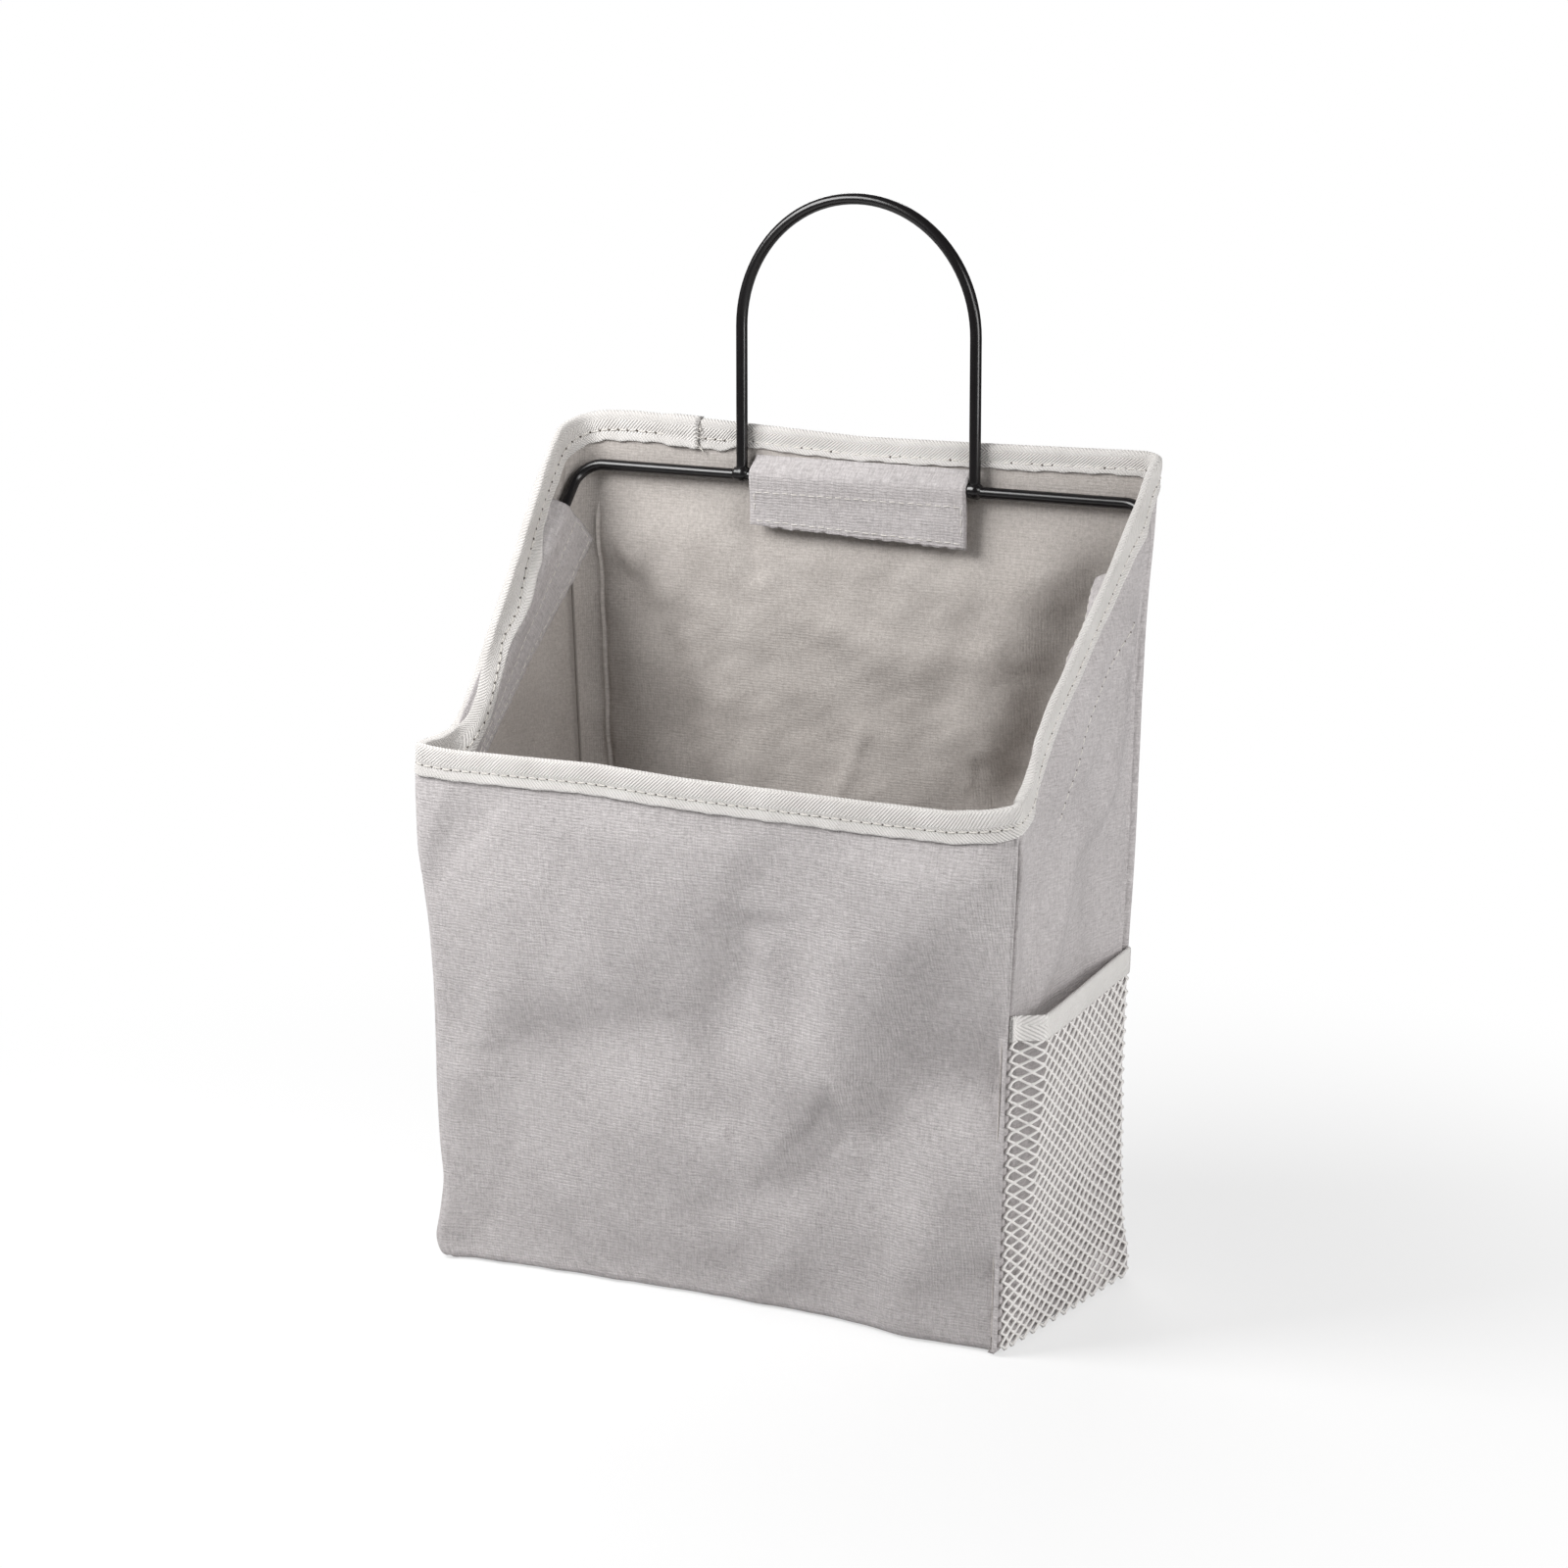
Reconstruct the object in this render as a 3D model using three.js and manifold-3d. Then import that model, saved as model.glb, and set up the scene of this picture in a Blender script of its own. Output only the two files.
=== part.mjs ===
// Hanging storage bag: a canvas bag held open by a steel wire ring, with a hoop to hang it by.
// Millimetres. X is the width, -Y is the front, +Y the wall behind, and the bag stands on Z = 0.
// Left is -X and right is +X, as seen by someone who faces the front.

import * as THREE from 'three';
import { mergeVertices } from 'three/addons/utils/BufferGeometryUtils.js';
import Module from 'manifold-3d';

const wasm = await Module();
wasm.setup();

// Bag, outside
const BASE_WIDTH = 189;
const TOP_WIDTH = 204;
const DEPTH = 95;
const FRONT_HEIGHT = 160;
const BACK_HEIGHT = 250;
const CORNER_RADIUS = 8;
const CANVAS_THICKNESS = 0.8;

// Folds in the front and back: how far the canvas lies behind its flat face. Each row goes from left
// to right between the corners, and the rows go up from the floor. The canvas is flat beside the rim.
const FRONT_FOLDS_BELOW_RIM = 38.5;
const FRONT_FOLDS = [
  [5.7, 6.6, 6.8, 7.8, 8.2, 8, 7.3, 5.2, 3.4],
  [4.6, 4.8, 4.9, 5.2, 6.7, 5.5, 5.7, 3.8, 1.3],
  [3.8, 2.4, 1.9, 2.7, 4.1, 4.5, 3.2, 2.6, -0.1],
  [3.8, 2.4, 1.2, 1.1, 2.4, 3.7, 4.4, 2.2, 1],
  [2.5, 2, 1.2, 0.2, 1.8, 1.1, 3, 3.6, 2.1],
  [2.3, 3.4, 2.7, 2.3, 3.7, 0.8, -0.3, 3.3, 3.7],
  [0.9, 3.5, 4, 3.6, 4.7, 0.3, -0.8, 0.8, 4],
  [0.1, 1.3, 2.2, 2.3, 4, 2, -0.4, -0.8, 1.7],
  [0.3, 1.9, 1.2, 1.5, 2.4, 2.9, 0.9, -0.8, 0.3],
];
const BACK_FOLDS_BELOW_RIM = 34;
const BACK_FOLDS = [
  [0.9, 0.7, 1.6, 2, 1.7, 0.8, 0.4, 1.2, 2],
  [0.6, 0.7, 1.6, 2, 1.9, 1.5, 1.1, 1.4, 1.4],
  [1.3, 1, 1.4, 1.9, 2.2, 1.5, 1.3, 1.9, 1.9],
  [1.2, 1.6, 1.7, 1.7, 1.9, 1.6, 1.5, 2.2, 2.1],
  [1.4, 1.9, 1.9, 1.4, 1.3, 1, 1.2, 2, 2.4],
  [1, 1.5, 2.1, 2, 1.1, 0.4, 0.8, 1.8, 2.2],
  [1.5, 1.5, 1.5, 1.7, 1.4, 0.3, 0.4, 1.2, 2.1],
  [0.3, 0, 1.6, 1.9, 1.7, 1, 0.4, 0.8, 1.9],
  [-0.5, 0.6, 1.5, 1.7, 2.5, 2.7, 0.9, -0.2, 1.7],
  [-0.8, 1.3, 1.7, 2.3, 3, 2.9, 1.3, -0.2, 1.7],
  [-0.8, 1.7, 2.2, 3, 3.7, 4.1, 2.6, 0.3, 0.6],
  [1.6, 2.4, 2.9, 2.9, 2.1, 1.9, 1.7, 1.2, 0],
];

// Rim: a short level stretch beside each corner, then a bend into the slope of the sides
const FRONT_LEVEL = 1.5;
const BACK_LEVEL = 0.8;
const FRONT_BEND_RADIUS = 8;
const TAPE_WIDTH = 9.5;
const TAPE_THICKNESS = 0.6;
const TAPE_BEND_SLACK = 1;

// Wire ring and hoop
const WIRE_DIAMETER = 3.5;
const BACK_ROD_BELOW_TAPE = 6;
const FRONT_ROD_BELOW_TAPE = 12;
const HOOP_WIDTH = 80;
const HOOP_RISE = 72;

// Flaps with hook and loop strips
const HINGE_ABOVE_WIRE = 2.85;
const FRONT_FLAP_SETBACK = 24.5;
const BACK_FLAP_CLEARANCE = 0.75;
const SIDE_FLAP_SETBACK = 8;
const SIDE_FLAP_OVERRUN = 2;
const STRIP_WIDTH = 10;
const STRIP_THICKNESS = 0.9;
const STRIP_BELOW_WIRE = 3;
const STRIP_MARGIN = 2.5;
const STRIP_EDGE = 0.5;

// Net pockets on both sides
const POCKET_HEIGHT = 100;
const POCKET_BULGE = 9;
const POCKET_FULLNESS = 0.45;
const POCKET_FLOOR = 1;
const BAND_HEIGHT = 7.4;
const BAND_THICKNESS = 1.4;
const NET_THICKNESS = 0.8;
const NET_STRAND = 1;
const NET_HEM = 1.4;
const NET_COLUMNS = 6;
const NET_ROWS = 10;

// Clearance left between pieces that touch
const GAP = 0.3;

// Steps that stand for curves
const CORNER_STEPS = 4;
const BEND_STEPS = 4;
const WIRE_SIDES = 8;
const HOOP_STEPS = 14;
const BAND_STEPS = 12;
const WELD_SEGMENTS = 12;
const ROOT_STEPS = 4;
const WELD_TOLERANCE = 1e-5;

// Sizes worked out from the ones above
const WIRE_RADIUS = WIRE_DIAMETER / 2;
const LEAN = (TOP_WIDTH - BASE_WIDTH) / 2 / BACK_HEIGHT;
const INNER_DEPTH = DEPTH / 2 - CANVAS_THICKNESS;
const SEAM_Y = DEPTH / 2 - CORNER_RADIUS;
const PANEL_DROP = TAPE_THICKNESS + GAP;
const BACK_BEND_RADIUS = TAPE_WIDTH + TAPE_BEND_SLACK;
const WIRE_INSET = PANEL_DROP + GAP + WIRE_RADIUS;
const WIRE_Y = INNER_DEPTH - WIRE_INSET;
const WIRE_BACK_Z = BACK_HEIGHT - TAPE_WIDTH - BACK_ROD_BELOW_TAPE;
const WIRE_FRONT_Z = FRONT_HEIGHT - TAPE_WIDTH - FRONT_ROD_BELOW_TAPE;
const FRONT_FOLD_STEP = (FRONT_HEIGHT - FRONT_FOLDS_BELOW_RIM) / FRONT_FOLDS.length;
const BACK_FOLD_STEP = (BACK_HEIGHT - BACK_FOLDS_BELOW_RIM) / BACK_FOLDS.length;

const halfWidth = (z) => BASE_WIDTH / 2 + LEAN * z;

// Shared helpers for closed bodies

function welded(geometry) {
  const bare = geometry.clone();
  bare.deleteAttribute('normal');
  bare.deleteAttribute('uv');
  return mergeVertices(bare, WELD_TOLERANCE);
}

function signedVolume(positions, index) {
  const point = (place) => new THREE.Vector3().fromArray(positions, 3 * place);
  let volume = 0;
  for (let face = 0; face < index.length; face += 3) {
    const [first, second, third] = index.slice(face, face + 3).map(point);
    volume += first.dot(second.cross(third));
  }
  return volume;
}

// Turns every face over when the body would otherwise be inside out.
function closedBody(positions, index) {
  if (signedVolume(positions, index) < 0) index.reverse();
  const geometry = new THREE.BufferGeometry();
  geometry.setAttribute('position', new THREE.Float32BufferAttribute(positions, 3));
  geometry.setIndex(index);
  return mergeVertices(geometry, WELD_TOLERANCE);
}

// A body through rings that all have the same number of points. A looped body joins its last ring
// to its first, and an open one is capped at both ends.
function bodyThrough(rings, looped = false) {
  const sides = rings[0].length;
  const positions = rings.flat().flatMap((point) => point.toArray());
  const index = [];
  const spans = looped ? rings.length : rings.length - 1;
  for (let span = 0; span < spans; span += 1) {
    const near = span * sides;
    const far = ((span + 1) % rings.length) * sides;
    for (let side = 0; side < sides; side += 1) {
      const next = (side + 1) % sides;
      index.push(near + side, far + side, far + next);
      index.push(near + side, far + next, near + next);
    }
  }
  if (!looped) {
    const last = (rings.length - 1) * sides;
    for (let side = 1; side < sides - 1; side += 1) {
      index.push(0, side, side + 1);
      index.push(last, last + side + 1, last + side);
    }
  }
  return closedBody(positions, index);
}

function toSolid(geometry) {
  const body = welded(geometry);
  return new wasm.Manifold(new wasm.Mesh({
    numProp: 3,
    vertProperties: new Float32Array(body.attributes.position.array),
    triVerts: new Uint32Array(body.index.array),
  }));
}

function fromSolid(solid) {
  const mesh = solid.getMesh();
  return closedBody(Array.from(mesh.vertProperties), Array.from(mesh.triVerts));
}

// Materials: a base colour and how rough and metallic each one is

const finish = (color, roughness, metalness = 0) => (
  new THREE.MeshStandardMaterial({ color, roughness, metalness, flatShading: true })
);
const canvas = () => finish(0xbdb7b4, 0.95);
const tape = () => finish(0xdad6d1, 0.9);
const hookTape = () => finish(0xc9c6c1, 0.85);
const loopTape = () => finish(0xc4c0bb, 0.98);
const netting = () => finish(0xe3dfdc, 0.7);
const coatedSteel = () => finish(0x1a1818, 0.35, 0.3);

const bag = new THREE.Group();

function addPiece(name, geometry, material, parent = bag) {
  const mesh = new THREE.Mesh(geometry, material);
  mesh.geometry.computeVertexNormals();
  mesh.name = name;
  parent.add(mesh);
  return mesh;
}

// Rim line. Seen from above it is a rectangle with round corners. Each stop along it knows how to
// place a point by height, inset from the bag's outer face and shift along the side, and which
// way the panel hangs down from the rim there.

const LEVEL_DROP = { y: 0, z: -1 };

function cornerStop(sideSign, endSign, turn, height) {
  const place = (z, inset) => new THREE.Vector3(
    sideSign * (halfWidth(z) - CORNER_RADIUS + (CORNER_RADIUS - inset) * Math.cos(turn)),
    endSign * (SEAM_Y + (CORNER_RADIUS - inset) * Math.sin(turn)),
    z,
  );
  return { place, height, drop: LEVEL_DROP };
}

function sideStop(sideSign, y, height, drop = LEVEL_DROP) {
  const place = (z, inset, shift = 0) => (
    new THREE.Vector3(sideSign * (halfWidth(z) - inset), y + shift, z)
  );
  return { place, height, drop };
}

const rimPoint = (stop, drop, inset) => (
  stop.place(stop.height + stop.drop.z * drop, inset, stop.drop.y * drop)
);

// One corner of the bag, from the side face round to the front or back face.
function cornerStops(sideSign, endSign, height) {
  return Array.from({ length: CORNER_STEPS + 1 }, (_, step) => (
    cornerStop(sideSign, endSign, (Math.PI / 2) * (step / CORNER_STEPS), height)
  ));
}

// The slope's angle, from the two bends and the level stretches it has to join.
const SLOPE_FROM = -SEAM_Y + FRONT_LEVEL;
const SLOPE_TO = SEAM_Y - BACK_LEVEL;
const BENDS = FRONT_BEND_RADIUS + BACK_BEND_RADIUS;
const SLOPE_RUN = SLOPE_TO - SLOPE_FROM;
const SLOPE_RISE = BACK_HEIGHT - FRONT_HEIGHT;
const SLOPE = Math.atan2(SLOPE_RISE - BENDS, SLOPE_RUN)
  + Math.asin(BENDS / Math.hypot(SLOPE_RUN, SLOPE_RISE - BENDS));

// The rim of one side from front to back: a bend up, the slope, and a bend to level again.
function sideStops(sideSign) {
  const steps = Array.from({ length: BEND_STEPS + 1 }, (_, step) => step / BEND_STEPS);
  const bend = (y, z, radius, angle) => sideStop(
    sideSign,
    y + radius * Math.sin(angle),
    z + radius * (1 - Math.cos(angle)),
    { y: Math.sin(angle), z: -Math.cos(angle) },
  );
  const up = steps.map((part) => bend(SLOPE_FROM, FRONT_HEIGHT, FRONT_BEND_RADIUS, SLOPE * part));
  const level = steps.map((part) => (
    bend(SLOPE_TO, BACK_HEIGHT, -BACK_BEND_RADIUS, SLOPE * (1 - part))
  ));
  return [...up, ...level];
}

// Panels

// The section of a wall at one stop: its lower edge on the floor, its upper edge inside the tape.
function wallSection(stop) {
  const shift = stop.drop.y * PANEL_DROP;
  return [
    stop.place(0, 0, shift),
    rimPoint(stop, PANEL_DROP, 0),
    rimPoint(stop, PANEL_DROP, CANVAS_THICKNESS),
    stop.place(0, CANVAS_THICKNESS, shift),
  ];
}

// A stop between two corners of the front or back, where the folds move the canvas inward.
function foldedStop(endSign, folds, step, column, height) {
  const share = (column + 1) / (folds[0].length + 1);
  const depths = [...folds.map((row) => row[column]), 0];
  const depthAt = (z) => {
    const row = Math.min(Math.floor(z / step), folds.length);
    const part = Math.min(z / step - row, 1);
    return depths[row] + (depths[Math.min(row + 1, folds.length)] - depths[row]) * part;
  };
  const place = (z, inset) => new THREE.Vector3(
    (2 * share - 1) * (halfWidth(z) - CORNER_RADIUS),
    endSign * (DEPTH / 2 - inset - depthAt(z)),
    z,
  );
  return { place, height, drop: LEVEL_DROP };
}

// All stops of the front or back from left to right, round both of its corners.
function endStops(endSign, folds, step, height) {
  const between = folds[0].map((_, column) => foldedStop(endSign, folds, step, column, height));
  return [...cornerStops(-1, endSign, height), ...between, ...cornerStops(1, endSign, height).reverse()];
}

const frontStops = (height) => endStops(-1, FRONT_FOLDS, FRONT_FOLD_STEP, height);
const backStops = (height) => endStops(1, BACK_FOLDS, BACK_FOLD_STEP, height);

// A body between two grids of points that lie opposite each other.
function bodyBetween(outer, inner) {
  const columns = outer[0].length;
  const points = [...outer.flat(), ...inner.flat()];
  const index = [];
  const addQuad = (first, second, third, fourth) => {
    index.push(first, second, third, first, third, fourth);
  };
  const back = outer.length * columns;
  for (let row = 0; row < outer.length - 1; row += 1) {
    for (let column = 0; column < columns - 1; column += 1) {
      const low = row * columns + column;
      const high = low + columns;
      addQuad(low, low + 1, high + 1, high);
      addQuad(back + low, back + high, back + high + 1, back + low + 1);
    }
    const start = row * columns;
    const end = start + columns - 1;
    addQuad(start, start + columns, back + start + columns, back + start);
    addQuad(end, back + end, back + end + columns, end + columns);
  }
  for (let column = 0; column < columns - 1; column += 1) {
    const top = (outer.length - 1) * columns + column;
    addQuad(column, back + column, back + column + 1, column + 1);
    addQuad(top, top + 1, back + top + 1, back + top);
  }
  return closedBody(points.flatMap((point) => point.toArray()), index);
}

// The front and back panels turn both corners and end at the seams on the side faces.
function endPanel(stops, foldRows, step, height) {
  const heights = [...Array.from({ length: foldRows + 1 }, (_, row) => row * step), height - PANEL_DROP];
  const grid = (inset) => heights.map((z) => stops.map((stop) => stop.place(z, inset)));
  return bodyBetween(grid(0), grid(CANVAS_THICKNESS));
}

function sidePanel(sideSign) {
  const stops = [
    sideStop(sideSign, -SEAM_Y + GAP, FRONT_HEIGHT),
    ...sideStops(sideSign),
    sideStop(sideSign, SEAM_Y - GAP, BACK_HEIGHT),
  ];
  return bodyThrough(stops.map(wallSection));
}

// The bottom panel lies on the floor inside the four walls.
function bottomPanel() {
  const inset = CANVAS_THICKNESS + GAP;
  const outline = [...frontStops(0), ...backStops(0).reverse()].map((stop) => stop.place(0, inset));
  const shape = new THREE.Shape(outline.map((point) => new THREE.Vector2(point.x, point.y)));
  return welded(new THREE.ExtrudeGeometry(shape, { depth: CANVAS_THICKNESS, bevelEnabled: false }));
}

const frontPanel = endPanel(frontStops(FRONT_HEIGHT), FRONT_FOLDS.length, FRONT_FOLD_STEP, FRONT_HEIGHT);
const backPanel = endPanel(backStops(BACK_HEIGHT), BACK_FOLDS.length, BACK_FOLD_STEP, BACK_HEIGHT);

addPiece('front_panel', frontPanel, canvas());
addPiece('back_panel', backPanel, canvas());
addPiece('left_side_panel', sidePanel(-1), canvas());
addPiece('right_side_panel', sidePanel(1), canvas());
addPiece('bottom_panel', bottomPanel(), canvas());

// Rim binding: one tape folded over the raw edges of the four walls, all the way round

function bindingSection(stop) {
  const outside = -GAP - TAPE_THICKNESS;
  const inside = CANVAS_THICKNESS + GAP + TAPE_THICKNESS;
  return [
    rimPoint(stop, TAPE_WIDTH, outside),
    rimPoint(stop, 0, outside),
    rimPoint(stop, 0, inside),
    rimPoint(stop, TAPE_WIDTH, inside),
    rimPoint(stop, TAPE_WIDTH, inside - TAPE_THICKNESS),
    rimPoint(stop, TAPE_THICKNESS, inside - TAPE_THICKNESS),
    rimPoint(stop, TAPE_THICKNESS, outside + TAPE_THICKNESS),
    rimPoint(stop, TAPE_WIDTH, outside + TAPE_THICKNESS),
  ];
}

const rimLoop = [
  ...cornerStops(-1, -1, FRONT_HEIGHT),
  ...cornerStops(1, -1, FRONT_HEIGHT).reverse(),
  ...sideStops(1),
  ...cornerStops(1, 1, BACK_HEIGHT),
  ...cornerStops(-1, 1, BACK_HEIGHT).reverse(),
  ...sideStops(-1).reverse(),
];

addPiece('rim_binding', bodyThrough(rimLoop.map(bindingSection), true), tape());

// Wire ring and hoop, both bent from the same coated steel wire

const WIRE_SLOPE = Math.atan2(WIRE_BACK_Z - WIRE_FRONT_Z, 2 * WIRE_Y);
const RING_NORMAL = new THREE.Vector3(0, -Math.sin(WIRE_SLOPE), Math.cos(WIRE_SLOPE));

// A point on the middle line of a ring arm, which keeps its distance from the leaning side wall.
function armPoint(sideSign, y) {
  const z = WIRE_FRONT_Z + (y + WIRE_Y) * Math.tan(WIRE_SLOPE);
  return new THREE.Vector3(sideSign * (halfWidth(z) - CANVAS_THICKNESS - WIRE_INSET), y, z);
}

// Replaces each corner of a looped path by an arc.
function rounded(corners, radius) {
  return corners.flatMap((corner, place) => {
    const before = corners[(place + corners.length - 1) % corners.length].clone().sub(corner).normalize();
    const after = corners[(place + 1) % corners.length].clone().sub(corner).normalize();
    const turn = Math.PI - before.angleTo(after);
    const reach = radius / Math.cos(turn / 2);
    const centre = before.clone().add(after).normalize().multiplyScalar(reach).add(corner);
    const tangent = radius * Math.tan(turn / 2);
    const from = before.multiplyScalar(tangent).add(corner).sub(centre);
    const to = after.multiplyScalar(tangent).add(corner).sub(centre);
    return Array.from({ length: BEND_STEPS + 1 }, (_, step) => {
      const part = step / BEND_STEPS;
      const arm = from.clone().multiplyScalar(Math.sin(turn * (1 - part)));
      arm.addScaledVector(to, Math.sin(turn * part)).divideScalar(Math.sin(turn));
      return arm.add(centre);
    });
  });
}

// Rings of a round tube along a path. The sideways vector is never parallel to the path.
function tubeRings(path, radius, sideways, looped) {
  const at = (place) => path[(place + path.length) % path.length];
  return path.map((point, place) => {
    const ahead = new THREE.Vector3();
    if (looped || place > 0) ahead.add(point.clone().sub(at(place - 1)).normalize());
    if (looped || place < path.length - 1) ahead.add(at(place + 1).clone().sub(point).normalize());
    ahead.normalize();
    const across = new THREE.Vector3().crossVectors(ahead, sideways).normalize();
    const over = new THREE.Vector3().crossVectors(across, ahead);
    return Array.from({ length: WIRE_SIDES }, (_, side) => {
      const angle = (2 * Math.PI * (side + 1 / 2)) / WIRE_SIDES;
      const spoke = across.clone().multiplyScalar(radius * Math.cos(angle));
      return spoke.addScaledVector(over, radius * Math.sin(angle)).add(point);
    });
  });
}

// The ring bends as wide as the bag's own corners.
function wireRing() {
  const corners = [armPoint(1, -WIRE_Y), armPoint(1, WIRE_Y), armPoint(-1, WIRE_Y), armPoint(-1, -WIRE_Y)];
  const path = rounded(corners, CORNER_RADIUS);
  return bodyThrough(tubeRings(path, WIRE_RADIUS, RING_NORMAL, true), true);
}

// The hoop is a half circle on two straight legs. A weld bead round the back rod ends each leg and
// stays clear of the wall behind.
function hangingHoop() {
  const archRadius = HOOP_WIDTH / 2;
  const archZ = BACK_HEIGHT + HOOP_RISE - WIRE_RADIUS - archRadius;
  const foot = (sideSign) => new THREE.Vector3(sideSign * archRadius, WIRE_Y, WIRE_BACK_Z);
  const arch = Array.from({ length: HOOP_STEPS + 1 }, (_, step) => {
    const angle = Math.PI * (step / HOOP_STEPS);
    return new THREE.Vector3(
      archRadius * Math.cos(angle),
      WIRE_Y,
      archZ + archRadius * Math.sin(angle),
    );
  });
  const toWall = new THREE.Vector3(0, 1, 0);
  const path = [foot(1), ...arch, foot(-1)];
  let hoop = toSolid(bodyThrough(tubeRings(path, WIRE_RADIUS, toWall, false)));
  const beadRadius = WIRE_INSET - GAP;
  for (const sideSign of [-1, 1]) {
    const bead = new THREE.SphereGeometry(beadRadius, WELD_SEGMENTS, WELD_SEGMENTS);
    const centre = foot(sideSign);
    hoop = hoop.add(toSolid(bead.translate(centre.x, centre.y, centre.z)));
  }
  const rodEnds = [-HOOP_WIDTH, HOOP_WIDTH].map((x) => new THREE.Vector3(x, WIRE_Y, WIRE_BACK_Z));
  const rod = bodyThrough(tubeRings(rodEnds, WIRE_RADIUS + GAP, RING_NORMAL, false));
  return fromSolid(hoop.subtract(toSolid(rod)));
}

addPiece('wire_ring', wireRing(), coatedSteel());
addPiece('hanging_hoop', hangingHoop(), coatedSteel());

// Flaps. Each hangs from the inside of the binding, passes over the wire and closes below it with
// a hook strip on the flap and a loop strip on the wall. They are drawn in the wall's own
// directions, starting level with the wire: down from the rim, inward from the wall, and along it.

const FLAP_INSET = PANEL_DROP + GAP + CANVAS_THICKNESS / 2;
const FLAP_ROUND = WIRE_RADIUS + GAP + CANVAS_THICKNESS / 2;
const FLAP_DOWN = FLAP_ROUND + STRIP_BELOW_WIRE + STRIP_WIDTH + STRIP_EDGE;
const STRIP_DOWN = FLAP_DOWN - STRIP_EDGE - STRIP_WIDTH / 2;
const LOOP_INWARD = GAP + STRIP_THICKNESS / 2;
const HOOK_INWARD = LOOP_INWARD + STRIP_THICKNESS + GAP;
const TAIL_INWARD = HOOK_INWARD + STRIP_THICKNESS / 2 + GAP + CANVAS_THICKNESS / 2;

// The middle line of a flap's cloth: from the hinge, round the wire, and down to the free edge.
function flapLine() {
  const wire = new THREE.Vector2(0, WIRE_INSET);
  const hinge = new THREE.Vector2(-WIRE_RADIUS - HINGE_ABOVE_WIRE, FLAP_INSET);
  const close = new THREE.Vector2(FLAP_ROUND + GAP + CANVAS_THICKNESS, TAIL_INWARD);
  const end = new THREE.Vector2(FLAP_DOWN, TAIL_INWARD);
  const toHinge = hinge.clone().sub(wire);
  const toClose = close.clone().sub(wire);
  const fromAngle = toHinge.angle() - Math.acos(FLAP_ROUND / toHinge.length());
  const toAngle = toClose.angle() + Math.acos(FLAP_ROUND / toClose.length());
  const overWire = Array.from({ length: BEND_STEPS + 1 }, (_, step) => {
    const angle = fromAngle + (toAngle - fromAngle) * (step / BEND_STEPS);
    return new THREE.Vector2(Math.cos(angle), Math.sin(angle)).multiplyScalar(FLAP_ROUND).add(wire);
  });
  return [hinge, ...overWire, close, end];
}

// The outline of cloth along a line, with a round end at the hinge.
function clothOutline(line) {
  const half = CANVAS_THICKNESS / 2;
  const directions = line.slice(1).map((point, place) => point.clone().sub(line[place]).normalize());
  const offset = (place, sign) => {
    const into = directions[Math.max(place - 1, 0)];
    const out = directions[Math.min(place, directions.length - 1)];
    const along = into.clone().add(out).normalize();
    const spread = half / along.dot(into);
    return new THREE.Vector2(-along.y, along.x).multiplyScalar(sign * spread).add(line[place]);
  };
  const places = line.map((_, place) => place);
  const root = Array.from({ length: ROOT_STEPS - 1 }, (_, step) => {
    const angle = directions[0].angle() - Math.PI / 2 - Math.PI * ((step + 1) / ROOT_STEPS);
    return new THREE.Vector2(Math.cos(angle), Math.sin(angle)).multiplyScalar(half).add(line[0]);
  });
  return [
    ...places.map((place) => offset(place, 1)),
    ...places.reverse().map((place) => offset(place, -1)),
    ...root,
  ];
}

// A flap with its two strips, in a group whose own X runs down from the rim and Y inward.
function addFlap(side, origin, down, inward, length) {
  const along = new THREE.Vector3().crossVectors(down, inward);
  const wallFrame = new THREE.Group();
  wallFrame.position.copy(origin);
  wallFrame.quaternion.setFromRotationMatrix(new THREE.Matrix4().makeBasis(down, inward, along));
  bag.add(wallFrame);

  const outline = new THREE.Shape(clothOutline(flapLine()));
  const cloth = new THREE.ExtrudeGeometry(outline, { depth: length, bevelEnabled: false });
  const flap = addPiece(`${side}_flap`, welded(cloth), canvas(), wallFrame);
  flap.position.set(0, 0, -length / 2);

  const stripLength = length - 2 * STRIP_MARGIN;
  const strip = () => welded(new THREE.BoxGeometry(STRIP_WIDTH, STRIP_THICKNESS, stripLength));
  const hook = addPiece(`${side}_hook_strip`, strip(), hookTape(), wallFrame);
  hook.position.set(STRIP_DOWN, HOOK_INWARD, 0);
  const loop = addPiece(`${side}_loop_strip`, strip(), loopTape(), wallFrame);
  loop.position.set(STRIP_DOWN, LOOP_INWARD, 0);
}

// Front and back flaps hang straight down. The back one fills the space between the hoop's legs.
for (const [side, endSign, rodZ, width] of [
  ['back', 1, WIRE_BACK_Z, HOOP_WIDTH - WIRE_DIAMETER - 2 * BACK_FLAP_CLEARANCE],
  ['front', -1, WIRE_FRONT_Z, BASE_WIDTH - 2 * FRONT_FLAP_SETBACK],
]) {
  const origin = new THREE.Vector3(0, endSign * INNER_DEPTH, rodZ);
  addFlap(side, origin, new THREE.Vector3(0, 0, -1), new THREE.Vector3(0, -endSign, 0), width);
}

// Side flaps lie along the ring's arms, from near the front seam to where their free corner is
// just past the back seam.
const SIDE_FLAP_FRONT = -SEAM_Y + SIDE_FLAP_SETBACK;
const SIDE_FLAP_BACK = SEAM_Y + SIDE_FLAP_OVERRUN - FLAP_DOWN * Math.sin(WIRE_SLOPE);

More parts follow.
